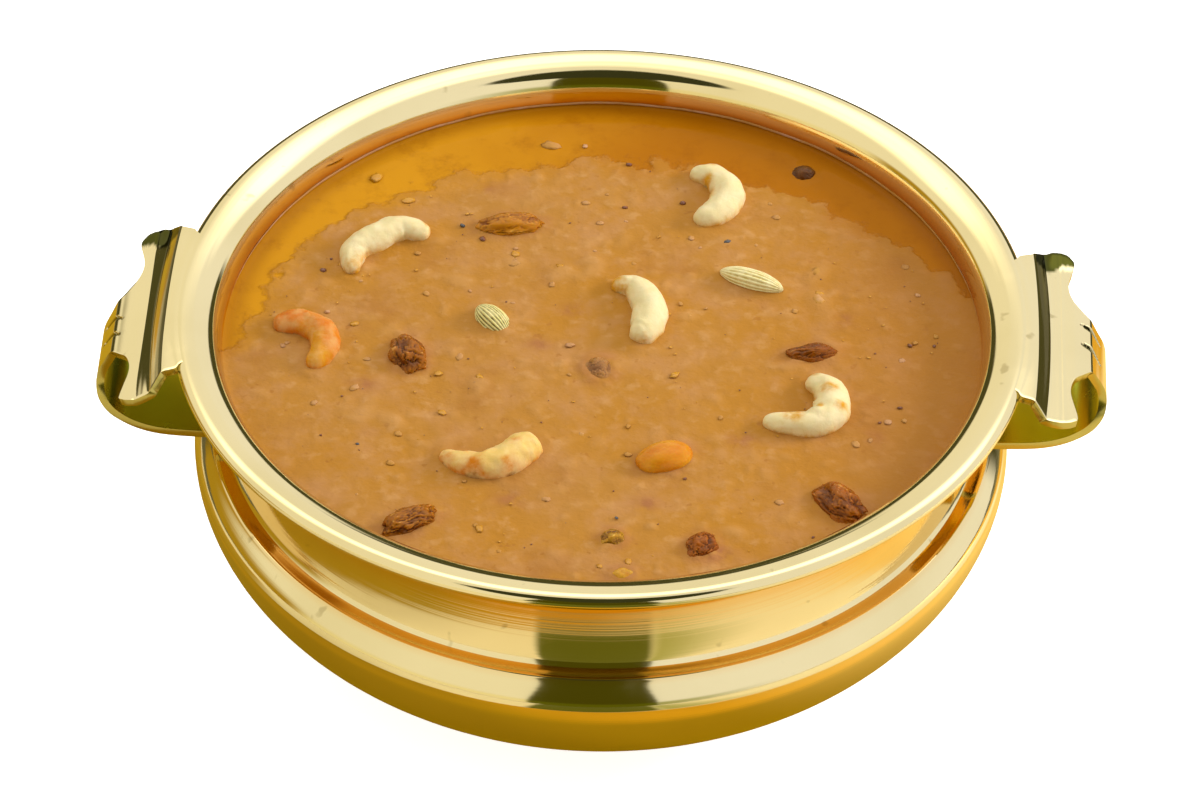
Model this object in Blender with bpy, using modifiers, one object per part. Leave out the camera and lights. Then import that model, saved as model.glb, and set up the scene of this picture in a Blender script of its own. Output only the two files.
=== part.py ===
"""A brass serving bowl of parippu payasam, with cashews, raisins and cardamom pods.

The bowl is turned: a flared lip, a hollow neck, a ridge, a round belly and a flat
base. Two strap handles roll out from the lip and back to the neck. The payasam is
one solid up to its level, and each nut, raisin and pod sits in a pocket in it.
Metres, +Z up. The origin is the middle of the base, the handles lie along X.
Depths are measured down from the top of the lip.
"""
import math
import random

import bmesh
import bpy
import numpy as np
from mathutils import Matrix, Vector, noise

NAME = "parippu_payasam"

# The bowl: driving sizes
LIP_R = 0.110
HEIGHT = 0.090
WALL = 0.0024
TURN_STEPS = 60

# The bowl's outer side as (radius, depth), from the lip down
LIP_TOP_OUT = (0.1094, 0.0)
LIP_SIDE_HIGH = (LIP_R, 0.0008)
LIP_SIDE_LOW = (LIP_R, 0.0024)
LIP_UNDER = (0.1094, 0.0030)
NECK = (0.0953, 0.0182)
RIDGE = (0.1017, 0.0352)
BELLY = (0.1055, 0.0418)
UNDER_LIP_PULLS = ((0.1043, 0.0051), (0.0953, 0.0143))
NECK_PULLS = ((0.0953, 0.0264), (0.0969, 0.0324))
SHOULDER_PULLS = ((0.1038, 0.0377), (0.1055, 0.0398))
BELLY_DROP = 0.0560
BELLY_POWER = 1.92

# The inner side as (radius, depth), from the payasam's level up to the lip
LEVEL = 0.01045
INNER_LEVEL = (0.09735, LEVEL)
THROAT = (0.09845, 0.0046)
LIP_ROLL = ((0.0991, 0.0031), (0.1002, 0.0020), (0.1030, 0.0010), (0.1062, 0.0005))
FLOOR_SHARE = 0.80

# Gap kept between pieces that touch
GAP = 0.0003
POCKET_GAP = 0.0006

# Strap handle, rows from the lip over and back under to the neck:
# (reach from the axis, depth, half width, how far the side edges lead the middle, curve of the row)
# The last value is 1 where the row follows the round bowl and 0 where it is straight.
STRAP_THICK = 0.0021
STRAP_COLUMNS = 8
EDGE_LEAD_POWER = 6
STRAP_ROWS = (
    (0.1106, 0.0003, 0.0273, 0.0, 1.0),
    (0.1117, 0.0005, 0.0290, 0.0, 0.90),
    (0.1130, 0.0016, 0.0307, 0.0, 0.75),
    (0.1146, 0.0032, 0.0322, 0.0, 0.55),
    (0.1160, 0.0038, 0.0331, 0.0, 0.25),
    (0.1172, 0.0040, 0.0331, 0.0007, 0.0),
    (0.1182, 0.0042, 0.0317, 0.0024, 0.0),
    (0.1191, 0.0044, 0.0302, 0.0022, 0.0),
    (0.1214, 0.0048, 0.0213, -0.0017, 0.0),
    (0.1227, 0.0053, 0.0160, -0.0020, 0.0),
    (0.1242, 0.0061, 0.0134, -0.0012, 0.0),
    (0.1259, 0.0073, 0.0117, -0.0005, 0.0),
    (0.1276, 0.0093, 0.0108, 0.0, 0.0),
    (0.1290, 0.0124, 0.0102, 0.0, 0.0),
    (0.1297, 0.0162, 0.0106, 0.0, 0.0),
    (0.1291, 0.0198, 0.0122, 0.0, 0.0),
    (0.1269, 0.0230, 0.0135, 0.0, 0.0),
    (0.1235, 0.0252, 0.0145, 0.0, 0.0),
    (0.1188, 0.0263, 0.0162, 0.0, 0.1),
    (0.1130, 0.0267, 0.0176, 0.0, 0.3),
    (0.1050, 0.0266, 0.0184, 0.0, 0.7),
    (0.0967, 0.0264, 0.0187, 0.0, 1.0),
)
# The left handle hangs lower than the right, where the neck is wider: its extra depth at
# the flat of the strap and at the neck, and how much sooner it ends there
STRAP_FLAT_ROW = 5
LEFT_SAG = (0.0032, 0.0050, 0.0021)

# Cashews: points of the curled spine as (x, y) in millimetres, the widths at the
# first end, the middle and the last end, and how high the spine lies over the level
CASHEWS = {
    "cashew_1": (((-66.1, 23.4), (-65.7, 31.7), (-60.2, 37.1), (-54.0, 41.1), (-47.3, 39.4)), (5.4, 7.8, 6.4), 0.5),
    "cashew_2": (((-84.3, 1.2), (-78.3, 2.0), (-72.3, -1.2), (-70.9, -7.6), (-73.5, -14.7)), (7.0, 7.6, 5.6), -1.0),
    "cashew_3": (((21.0, 68.2), (26.6, 66.9), (30.7, 60.2), (28.3, 52.7), (22.9, 48.7)), (5.4, 8.2, 6.6), 0.4),
    "cashew_4": (((2.1, 21.3), (7.9, 20.1), (11.6, 12.1), (11.1, 4.0), (8.4, 0.4)), (5.4, 8.4, 6.8), 0.4),
    "cashew_5": (((53.6, -14.2), (58.4, -18.4), (59.1, -26.2), (53.9, -31.3), (42.5, -30.4)), (6.6, 8.6, 5.8), 0.4),
    "cashew_6": (((-38.2, -47.1), (-31.7, -50.6), (-24.2, -50.2), (-18.9, -45.1), (-15.6, -41.1)), (4.6, 8.2, 8.6), 0.3),
}
CASHEW_FLATNESS = 0.92
CASHEW_END_POWER = 2.7
CASHEW_TIP = 0.5
CASHEW_TIP_POWER = 9

# Raisins: (x, y), (length, width, thickness), turn in degrees, height over the level,
# depth of the wrinkles; millimetres
RAISINS = {
    "raisin_amber": ((-25.8, 45.5), (17.5, 9.0, 5.4), 8, 0.4, 0.8),
    "raisin_folded": ((-49.3, -8.6), (13.5, 9.4, 6.0), 98, 0.4, 1.1),
    "raisin_sunk": ((-0.3, -11.0), (10.5, 9.0, 5.0), 100, -1.7, 0.6),
    "raisin_flat": ((54.0, -2.4), (13.4, 7.0, 4.4), 10, 0.0, 0.7),
    "raisin_front_left": ((-45.0, -72.2), (16.0, 8.6, 5.6), 33, 0.2, 1.0),
    "raisin_large": ((62.0, -60.2), (15.5, 10.5, 6.0), -48, 0.4, 1.0),
    "raisin_front": ((27.9, -77.3), (9.6, 8.2, 5.0), 60, 0.0, 0.8),
    "raisin_olive": ((5.8, -75.6), (7.2, 6.6, 4.6), 20, -0.4, 0.5),
    "raisin_yellow": ((8.9, -88.4), (6.8, 5.0, 3.8), 5, -0.9, 0.3),
    "raisin_in_ghee": ((50.5, 71.3), (7.0, 7.0, 4.6), 0, -0.8, 0.5),
    "raisin_golden": ((17.6, -45.2), (15.2, 10.4, 7.0), 26, 0.6, 0.15),
}
WRINKLE_DEPTH = 0.22
WRINKLE_SCALE = 1.5

# Cardamom pods: (x, y), (length, width), turn in degrees, dip of one end, height over the level
PODS = {
    "cardamom_green": ((-28.7, 6.8), (13.5, 8.4), -46, 14, 0.2),
    "cardamom_pale": ((37.8, 25.2), (18.0, 6.6), -23, 0, 0.9),
}
POD_RIBS = 6
POD_RIB_DEPTH = 0.07
POD_TAPER = 1.7
POD_FULLNESS = 0.85
POD_FLATNESS = 0.86

# The payasam's surface: soft lumps of cooked dal under a smooth skin
TOP_RINGS = 10
LUMPS = 70
LUMP_SEED = 11
LUMP_RADIUS = (0.005, 0.009)
LUMP_RISE = (0.0003, 0.0008)
LUMP_FALLOFF = 2.0
LUMP_SPREAD = 0.92
SKIN_RISE = 0.0004
SKIN_SCALE = 60.0
CALM_RIM = 0.001

MM = 0.001
TINY = 1e-6

# Colours
BRASS = (0.76, 0.52, 0.16)
SWEET = (0.50, 0.26, 0.09)
PALE_NUT = (0.86, 0.66, 0.36)
FRIED_NUT = (0.80, 0.34, 0.06)
DARK_RAISIN = (0.20, 0.055, 0.012)
RAISIN_COLOURS = {
    "raisin_golden": (0.72, 0.27, 0.02),
    "raisin_yellow": (0.62, 0.33, 0.04),
    "raisin_amber": (0.42, 0.13, 0.015),
    "raisin_olive": (0.35, 0.20, 0.04),
}
POD_COLOUR = (0.52, 0.50, 0.20)


def new_collection(name):
    """A collection linked to the scene."""
    group = bpy.data.collections.new(name)
    bpy.context.scene.collection.children.link(group)
    return group


def finish(name, color, roughness, metallic=0.0, coat=0.0):
    """A Principled material."""
    material = bpy.data.materials.new(name)
    material.use_nodes = True
    shader = material.node_tree.nodes["Principled BSDF"]
    shader.inputs["Base Color"].default_value = (*color, 1.0)
    shader.inputs["Roughness"].default_value = roughness
    shader.inputs["Metallic"].default_value = metallic
    shader.inputs["Coat Weight"].default_value = coat
    return material


def add_object(name, mesh, group, material=None):
    """An object of the mesh, smooth shaded, in the collection."""
    thing = bpy.data.objects.new(name, mesh)
    group.objects.link(thing)
    mesh.shade_smooth()
    if material:
        mesh.materials.append(material)
    return thing


def bezier(start, pull_1, pull_2, end, steps):
    """Points along a cubic curve, without its start."""
    a, b, c, d = (np.array(p) for p in (start, pull_1, pull_2, end))
    points = []
    for i in range(1, steps + 1):
        t = i / steps
        s = 1.0 - t
        points.append(tuple(s ** 3 * a + 3 * s * s * t * b + 3 * s * t * t * c + t ** 3 * d))
    return points


def belly_curve(steps):
    """The round belly from its widest ring down to the base."""
    lowest = math.asin(((HEIGHT - BELLY[1]) / BELLY_DROP) ** (BELLY_POWER / 2))
    points = []
    for i in range(1, steps + 1):
        angle = lowest * i / steps
        radius = BELLY[0] * math.cos(angle) ** (2 / BELLY_POWER)
        depth = BELLY[1] + BELLY_DROP * math.sin(angle) ** (2 / BELLY_POWER)
        points.append((radius, depth))
    return points


def neck_and_belly(neck_steps, shoulder_steps, belly_steps):
    """The outer side below the lip, from the narrowest ring of the neck to the base's edge."""
    points = [NECK]
    points += bezier(NECK, *NECK_PULLS, RIDGE, neck_steps)
    points += bezier(RIDGE, *SHOULDER_PULLS, BELLY, shoulder_steps)
    points += belly_curve(belly_steps)
    return points


def offset_inward(points, distance):
    """The curve moved sideways towards the bowl's inside."""
    pts = np.array(points)
    along = np.gradient(pts, axis=0)
    along /= np.linalg.norm(along, axis=1)[:, None]
    inward = np.stack([-along[:, 1], along[:, 0]], axis=1)
    return [tuple(p) for p in pts + inward * distance]


def inner_side(distance):
    """The inside below the level, from the neck to the floor's centre, at a distance from the outside."""
    points = [p for p in offset_inward(neck_and_belly(2, 1, 4), distance) if p[1] < HEIGHT - distance]
    floor = HEIGHT - distance
    return points + [(points[-1][0] * FLOOR_SHARE, floor), (0.0, floor)]


def screw(name, profile, group, material=None):
    """A turned solid from (radius, depth) points that run down its outer side."""
    mesh = bpy.data.meshes.new(name)
    edges = [(i, i + 1) for i in range(len(profile) - 1)]
    mesh.from_pydata([(r, 0.0, HEIGHT - d) for r, d in profile], edges, [])
    thing = add_object(name, mesh, group, material)
    turn = thing.modifiers.new("Turn", "SCREW")
    turn.axis = "Z"
    turn.steps = TURN_STEPS
    turn.render_steps = TURN_STEPS
    turn.use_merge_vertices = True
    turn.merge_threshold = 0.00001
    turn.use_smooth_shade = True
    return thing


def make_bowl(group, brass):
    """The turned brass bowl."""
    inside = inner_side(WALL)[::-1]
    lip = [INNER_LEVEL, THROAT, *LIP_ROLL, LIP_TOP_OUT, LIP_SIDE_HIGH, LIP_SIDE_LOW, LIP_UNDER]
    under_lip = bezier(LIP_UNDER, *UNDER_LIP_PULLS, NECK, 4)[:-1]
    outside = neck_and_belly(4, 2, 7)
    return screw("bowl", inside + lip + under_lip + outside + [(0.0, HEIGHT)], group, brass)


def strap_point(along, across, sag):
    """A point of the strap: along it from 0 at the lip to 1 at the neck, across it from -1 to 1."""
    rows = np.array(STRAP_ROWS)
    place = along * (len(rows) - 1)
    reach, depth, half, lead, round_share = (np.interp(place, range(len(rows)), column) for column in rows.T)
    y = half * across
    bend = math.sqrt(reach * reach - y * y) - reach
    flat_drop, neck_drop, short = sag
    last = len(rows) - 1
    x = reach + lead * across ** EDGE_LEAD_POWER + bend * round_share + short * max(0.0, place - last + 1)
    drop = np.interp(place, (1, STRAP_FLAT_ROW, last), (0.0, flat_drop, neck_drop))
    return Vector((x, y, HEIGHT - depth - drop))


def make_handle(name, turn, sag, group, brass):
    """One strap handle: a flat strap bent along its rows, then given its thickness."""
    sheet = bmesh.new()
    bmesh.ops.create_grid(sheet, x_segments=STRAP_COLUMNS, y_segments=len(STRAP_ROWS) - 1, size=1.0)
    for vert in sheet.verts:
        vert.co = strap_point((vert.co.y + 1.0) / 2.0, vert.co.x, sag)
    sheet.normal_update()
    if sum(f.normal.z for f in sheet.faces if f.calc_center_median().z > HEIGHT - 0.006) < 0.0:
        bmesh.ops.reverse_faces(sheet, faces=sheet.faces)
    mesh = bpy.data.meshes.new(name)
    sheet.to_mesh(mesh)
    sheet.free()
    handle = add_object(name, mesh, group, brass)
    handle.rotation_euler.z = turn
    thick = handle.modifiers.new("Thickness", "SOLIDIFY")
    thick.thickness = STRAP_THICK
    thick.offset = -1.0
    return handle


def spline_point(points, place):
    """A point and its direction on a smooth curve through the points, place from 0 to 1."""
    last = len(points) - 1
    index = min(int(place * last), last - 1)
    t = place * last - index
    before = points[max(index - 1, 0)]
    a, b = points[index], points[index + 1]
    after = points[min(index + 2, last)]
    pull_a = (b - before) / 2.0
    pull_b = (after - a) / 2.0
    point = ((2 * t ** 3 - 3 * t * t + 1) * a + (t ** 3 - 2 * t * t + t) * pull_a
             + (3 * t * t - 2 * t ** 3) * b + (t ** 3 - t * t) * pull_b)
    slope = ((6 * t * t - 6 * t) * a + (3 * t * t - 4 * t + 1) * pull_a
             + (6 * t - 6 * t * t) * b + (3 * t * t - 2 * t) * pull_b)
    return point, slope.normalized()


def ball(segments, rings):
    """A unit sphere to be shaped, its poles along Z."""
    shape = bmesh.new()
    bmesh.ops.create_uvsphere(shape, u_segments=segments, v_segments=rings, radius=1.0)
    return shape


def to_mesh(name, shape):
    """The bmesh as a closed mesh with its faces outward."""
    shape.normal_update()
    bmesh.ops.recalc_face_normals(shape, faces=shape.faces)
    if shape.calc_volume(signed=True) < 0.0:
        bmesh.ops.reverse_faces(shape, faces=shape.faces)
    mesh = bpy.data.meshes.new(name)
    shape.to_mesh(mesh)
    shape.free()
    return mesh


def cashew_mesh(name, spine, widths, lift):
    """A curled cashew: a sphere drawn out along its spine."""
    level = (HEIGHT - LEVEL) / MM + lift
    points = [Vector((x, y, level)) for x, y in spine]
    shape = ball(12, 12)
    for vert in shape.verts:
        end = vert.co.z
        side = Vector((vert.co.x, vert.co.y))
        if side.length > TINY:
            side = side.normalized() * (1.0 - abs(end) ** CASHEW_END_POWER) ** (1 / CASHEW_END_POWER)
        half = np.interp(end, (-1.0, 0.0, 1.0), widths) / 2.0
        point, along = spline_point(points, (end + 1.0) / 2.0)
        across = Vector((along.y, -along.x, 0.0))
        tip = along * end ** CASHEW_TIP_POWER * CASHEW_TIP
        vert.co = (point + tip + across * side.x * half) * MM
        vert.co.z += side.y * half * CASHEW_FLATNESS * MM
    return to_mesh(name, shape)


def place_shape(shape, place, lift, turn, dip=0.0):
    """Lay a shape that was made along X at a place on the level, turned and with one end dipped."""
    spot = Vector((place[0] * MM, place[1] * MM, HEIGHT - LEVEL + lift * MM))
    lean = Matrix.Rotation(math.radians(turn), 4, "Z") @ Matrix.Rotation(math.radians(dip), 4, "Y")
    bmesh.ops.transform(shape, matrix=Matrix.Translation(spot) @ lean, verts=shape.verts)


def raisin_mesh(name, place, sizes, turn, lift, wrinkle):
    """A wrinkled raisin: an ellipsoid folded by noise."""
    seed = Vector((place[0], place[1], 0.0))
    half = [size * MM / 2.0 for size in sizes]
    shape = ball(10, 7)
    for vert in shape.verts:
        out = Vector((vert.co.z, vert.co.x, vert.co.y))
        fold = 1.0 + wrinkle * WRINKLE_DEPTH * noise.noise(out * WRINKLE_SCALE + seed)
        vert.co = Vector((out.x * half[0], out.y * half[1], out.z * half[2])) * fold
    place_shape(shape, place, lift, turn)
    return to_mesh(name, shape)


def pod_mesh(name, place, sizes, turn, dip, lift):
    """A ribbed cardamom pod with pointed ends."""
    length, half = (size * MM / 2.0 for size in sizes)
    shape = ball(POD_RIBS * 2, 10)
    for vert in shape.verts:
        end = vert.co.z
        around = math.atan2(vert.co.y, vert.co.x)
        at_pole = math.hypot(vert.co.x, vert.co.y) < TINY
        slim = 0.0 if at_pole else (1.0 - abs(end) ** POD_TAPER) ** POD_FULLNESS
        reach = half * slim * (1.0 + POD_RIB_DEPTH * math.cos(around * POD_RIBS))
        vert.co = Vector((end * length, reach * math.cos(around), reach * math.sin(around) * POD_FLATNESS))
    place_shape(shape, place, lift, turn, dip)
    return to_mesh(name, shape)


def add_topping(mesh, group, cutters, material):
    """A topping, and the same shape with its clearance, which cuts the pocket in the payasam."""
    add_object(mesh.name, mesh, group, material)
    pocket = add_object("pocket_" + mesh.name, mesh.copy(), cutters)
    pocket.hide_render = True
    pocket.display_type = "WIRE"
    clearance = pocket.modifiers.new("Clearance", "DISPLACE")
    clearance.mid_level = 0.0
    clearance.strength = POCKET_GAP


def surface_relief(x, y, lumps):
    """Height of the payasam's skin over its level at a place."""
    height = SKIN_RISE * noise.noise(Vector((x, y, 0.0)) * SKIN_SCALE)
    for cx, cy, radius, rise in lumps:
        near = ((x - cx) ** 2 + (y - cy) ** 2) / (radius * radius)
        height += rise * math.exp(-near * LUMP_FALLOFF)
    return height


def make_payasam(group, cutters, sweet):
    """The payasam: everything inside the bowl up to the level, with a pocket for each topping."""
    radius = INNER_LEVEL[0] - GAP
    top = [(radius * i / TOP_RINGS, LEVEL) for i in range(TOP_RINGS + 1)]
    turned = screw("payasam_blank", top + inner_side(WALL + GAP), group)
    bpy.context.view_layer.update()
    solid = turned.evaluated_get(bpy.context.evaluated_depsgraph_get())
    mesh = bpy.data.meshes.new_from_object(solid)
    bpy.data.objects.remove(turned)
    draw = random.Random(LUMP_SEED)
    lumps = []
    for _ in range(LUMPS):
        angle = draw.uniform(0.0, 2.0 * math.pi)
        reach = radius * LUMP_SPREAD * math.sqrt(draw.random())
        lumps.append((reach * math.cos(angle), reach * math.sin(angle), draw.uniform(*LUMP_RADIUS),
                      draw.uniform(*LUMP_RISE)))
    for vert in mesh.vertices:
        x, y, z = vert.co
        if abs(z - (HEIGHT - LEVEL)) < TINY and math.hypot(x, y) < radius - CALM_RIM:
            vert.co.z += surface_relief(x, y, lumps)
    payasam = add_object("payasam", mesh, group, sweet)
    pockets = payasam.modifiers.new("Pockets", "BOOLEAN")
    pockets.operation = "DIFFERENCE"
    pockets.operand_type = "COLLECTION"
    pockets.collection = cutters
    pockets.solver = "EXACT"
    return payasam


def make_toppings(group, cutters):
    """Cashews, raisins and cardamom pods."""
    for name, values in CASHEWS.items():
        colour = FRIED_NUT if name == "cashew_2" else PALE_NUT
        add_topping(cashew_mesh(name, *values), group, cutters, finish(name, colour, 0.35, coat=0.3))
    for name, values in RAISINS.items():
        colour = RAISIN_COLOURS.get(name, DARK_RAISIN)
        add_topping(raisin_mesh(name, *values), group, cutters, finish(name, colour, 0.3, coat=0.5))
    for name, values in PODS.items():
        add_topping(pod_mesh(name, *values), group, cutters, finish(name, POD_COLOUR, 0.5))


def main():
    """Build the bowl, its handles, the payasam and what lies on it."""
    for thing in list(bpy.data.objects):
        bpy.data.objects.remove(thing)
    group = new_collection(NAME)
    cutters = new_collection("cutters")
    make_bowl(group, finish("brass_bowl", BRASS, 0.12, metallic=1.0))
    make_handle("handle_right", 0.0, (0.0, 0.0, 0.0), group, finish("brass_handle_right", BRASS, 0.14, metallic=1.0))
    make_handle("handle_left", math.pi, LEFT_SAG, group, finish("brass_handle_left", BRASS, 0.14, metallic=1.0))
    make_toppings(group, cutters)
    make_payasam(group, cutters, finish("payasam", SWEET, 0.3, coat=0.4))


main()
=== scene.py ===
"""Parippu payasam in its turned brass bowl: the fine shapes, finishes, studio and camera.

Metres, +Z up. The origin is the middle of the bowl's base and the handles lie along X.
Depths are measured down from the top of the lip.
"""

import math
import random

import bmesh
import bpy
import numpy as np
from bpy.props import FloatProperty, FloatVectorProperty, IntProperty, PointerProperty
from mathutils import Matrix, Vector, noise


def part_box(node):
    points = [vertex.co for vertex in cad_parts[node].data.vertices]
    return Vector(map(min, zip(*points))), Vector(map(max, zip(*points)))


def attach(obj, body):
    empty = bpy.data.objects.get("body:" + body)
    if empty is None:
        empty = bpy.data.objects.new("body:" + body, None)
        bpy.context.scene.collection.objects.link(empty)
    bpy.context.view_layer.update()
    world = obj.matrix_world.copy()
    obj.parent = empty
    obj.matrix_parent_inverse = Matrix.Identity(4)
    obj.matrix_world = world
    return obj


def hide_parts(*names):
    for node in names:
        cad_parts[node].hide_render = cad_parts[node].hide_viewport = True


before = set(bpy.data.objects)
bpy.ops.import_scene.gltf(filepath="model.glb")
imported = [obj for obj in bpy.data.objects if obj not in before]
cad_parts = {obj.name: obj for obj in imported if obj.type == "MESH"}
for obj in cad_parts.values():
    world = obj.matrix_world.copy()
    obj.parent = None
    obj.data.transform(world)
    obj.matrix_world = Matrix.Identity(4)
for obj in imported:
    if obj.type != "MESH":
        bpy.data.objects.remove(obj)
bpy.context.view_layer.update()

bl_info = {
    "name": "Parippu Payasam Bowl",
    "version": (1, 0, 0),
    "blender": (4, 5, 0),
    "location": "View3D > Sidebar > Payasam",
    "description": "A brass bowl of lentil and jaggery sweet with nuts, raisins and cardamom",
    "category": "Add Mesh",
}

MM = 0.001
BODY = "root"
LIP_R = (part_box("bowl")[1].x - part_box("bowl")[0].x) / 2.0
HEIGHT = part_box("bowl")[1].z

# The bowl's section as (radius, depth), outer side from the lip down
LIP_CROWN = ((0.1088, 0.0003), (0.1098, 0.0011), (LIP_R, 0.0019), (0.1098, 0.0026), (0.1092, 0.0031))
NECK = (0.0953, 0.0168)
LEDGE = (0.0969, 0.0341)
LEDGE_PULLS = ((0.0976, 0.0344), (0.0992, 0.03445))
RIDGE = ((0.1006, 0.0345), (0.1010, 0.0347), (0.1013, 0.0351))
BELLY = (0.1055, 0.0418)
UNDER_LIP_PULLS = ((0.1043, 0.0051), (0.0953, 0.0132))
NECK_PULLS = ((0.0953, 0.0235), (0.0955, 0.0318))
SHOULDER_PULLS = ((0.1030, 0.0369), (0.1055, 0.0390))
BELLY_DROP = 0.0560
BELLY_POWER = 1.92
WALL = 0.0024

# The wall's smooth inner side follows this curve, a wall's thickness inside it
CORE_NECK = ((0.0953, 0.0264), (0.0972, 0.0319), (0.1017, 0.0352))
CORE_SHOULDER = ((0.1038, 0.0377), (0.1055, 0.0398), BELLY)

# Inner side, from the payasam's level up to the crown of the lip
LEVEL = 0.01045
INNER_LEVEL = (0.09735, LEVEL)
LIP_TOP = (0.1074, 0.0)
LIP_ROLL = (INNER_LEVEL, (0.09745, 0.0085), (0.0978, 0.0065), (0.0982, 0.0050), (0.0987, 0.0038),
            (0.0993, 0.0028), (0.1000, 0.0021), (0.1009, 0.00150), (0.1020, 0.00098), (0.1033, 0.00058),
            (0.1047, 0.00023), LIP_TOP, *LIP_CROWN)
LIP_POINTS = 60

# Share of the orange tint painted into the brass at some depths, inside the lip and outside: a painted
# reflection, standing in for the orange that the neck and the inner wall mirror
INNER_REFLECTION_TINT = ((0.0045, 0.0070, 0.0090), (0.0, 0.25, 0.9))
OUTER_REFLECTION_TINT = ((0.0035, 0.006, 0.015, 0.019, 0.024, 0.0335, 0.0345, 0.036, 0.060, 0.075),
                 (0.3, 1.0, 1.0, 0.5, 0.1, 0.1, 0.3, 0.0, 0.0, 0.4))
BRASS = (0.86, 0.73, 0.41)
# Orange tint painted into the bowl's brass where the hollow attribute says: a painted reflection colour
REFLECTION_TINT_BRASS = (0.86, 0.50, 0.12)

# Strap handle, rows from the lip over and back under to the neck:
# (reach, depth, half width, how far the side edges lead the middle, curve of the row)
STRAP_ROWS = (
    (0.1076, 0.0001, 0.0250, 0.0, 1.0),
    (0.1094, 0.0002, 0.0264, 0.0, 1.0),
    (0.1106, 0.0004, 0.0278, 0.0, 1.0),
    (0.1114, 0.0006, 0.0288, 0.0, 0.4),
    (0.1119, 0.0009, 0.0296, 0.0, 0.3),
    (0.1131, 0.0020, 0.0308, 0.0, 0.3),
    (0.1144, 0.0033, 0.0322, 0.0, 0.3),
    (0.1150, 0.0037, 0.0327, 0.0, 0.3),
    (0.1160, 0.0039, 0.0331, 0.0, 0.15),
    (0.1168, 0.0040, 0.0332, 0.0010, 0.0),
    (0.1174, 0.0041, 0.0322, 0.0030, 0.0),
    (0.1179, 0.0041, 0.0303, 0.0034, 0.0),
    (0.1185, 0.0042, 0.0213, 0.0012, 0.0),
    (0.1196, 0.0043, 0.0160, 0.0011, 0.0),
    (0.1214, 0.0045, 0.0134, 0.0016, 0.0),
    (0.1237, 0.0051, 0.0118, 0.0010, 0.0),
    (0.1252, 0.0056, 0.0112, 0.0004, 0.0),
    (0.1260, 0.0066, 0.0109, 0.0, 0.0),
    (0.1272, 0.0088, 0.0105, 0.0, 0.0),
    (0.1290, 0.0124, 0.0102, 0.0, 0.0),
    (0.1297, 0.0162, 0.0106, 0.0, 0.0),
    (0.1291, 0.0198, 0.0122, 0.0, 0.0),
    (0.1269, 0.0230, 0.0135, 0.0, 0.0),
    (0.1235, 0.0252, 0.0145, 0.0, 0.0),
    (0.1188, 0.0263, 0.0162, 0.0, 0.1),
    (0.1130, 0.0267, 0.0176, 0.0, 0.3),
    (0.1050, 0.0266, 0.0184, 0.0, 0.7),
    (0.0967, 0.0264, 0.0187, 0.0, 1.0),
)
STRAP_TURN_ROW = 20
STRAP_THICK = 0.0021
EDGE_LEAD_POWER = 6
STRAP_GRID = (60, 230)
TOP_RUN_DEPTH = 0.006
EDGE_SOFTNESS = 0.0004

# How far each handle sags at some reaches, and how far short of the neck its last row ends
SAGS = {
    "handle_right": (((0.1114, 0.0), (0.1297, 0.0)), 0.0),
    "handle_left": (((0.1114, 0.0), (0.1144, 0.0008), (0.1171, 0.0026), (0.1297, 0.0050)), 0.0021),
}

# The back ears curl up beyond this distance across, and fully only past the second reach
CURL_START = 0.0268
CURL_RUN = 0.0070
CURL_RISE = 0.0006
CURL_REACH = (0.1142, 0.1156)

# The roll-over narrows at the back by this share, from this reach on and over this distance
BACK_NARROWS = 0.22
NARROWS_FROM = 0.1190
NARROWS_OVER = 0.0080

# The ears are painted dark beyond these distances across, at these reaches: a painted dark reflection
# standing in for the one their curl would show
EAR_REACHES = (0.1112, 0.1146, 0.1155, 0.1168, 0.1180)
EAR_STARTS = (0.0262, 0.0250, 0.0254, 0.0264, 0.0282)
EAR_SOFT = 0.0008
EAR_DEPTH = 0.016

# Leaf-shaped cuts in each roll-over, in millimetres:
# (reach, across at its middle, length, width, turn in degrees)
LEAF_CUTS = {
    "handle_right": ((125.4, 5.0, 6.5, 1.5, 152), (125.2, -2.4, 6.5, 1.5, 150)),
    "handle_left": ((126.0, 2.6, 6.5, 1.5, 32), (126.0, -3.8, 6.0, 1.5, 34)),
}
LEAF_DEPTH = 0.0007
LEAF_TONE = 1.6
LEAF_TONE_MOST = 0.9
# Dark colour painted into the leaf cuts as patina and onto the back ears as a painted dark reflection
LEAF_PATINA_AND_EAR_REFLECTION = (0.075, 0.075, 0.010)
# The straps' undersides as darker, greener copies of the brass, darker on the left handle: painted shade
SHADED_INNER_BRASS = {"handle_right": (0.46, 0.50, 0.045), "handle_left": (0.26, 0.31, 0.008)}
# Glow the underside gives to reflected rays only: painted light, so the neck does not mirror it black
INNER_GLOW = (0.30, 0.17, 0.008)
# A darker olive copy of the brass on the straps' cut edges: a painted reflection, averaging their highlights
# and dark reflections
SHADED_EDGE_BRASS = (0.52, 0.42, 0.11)

# Shore of the ghee as (angle in degrees from +X, distance from the axis), in millimetres
GHEE_SHORE = ((-20, 104.0), (5, 101.0), (16.7, 94.9), (26.3, 88.3), (34.4, 83.2), (41.1, 80.5),
              (50.5, 78.7), (62.8, 74.6), (74.0, 75.0), (84.3, 73.9), (109.3, 73.9), (127.6, 78.4),
              (138.8, 80.4), (149.0, 85.1), (157.6, 86.6), (175.0, 90.0), (190, 100.0), (205, 104.0))

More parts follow.
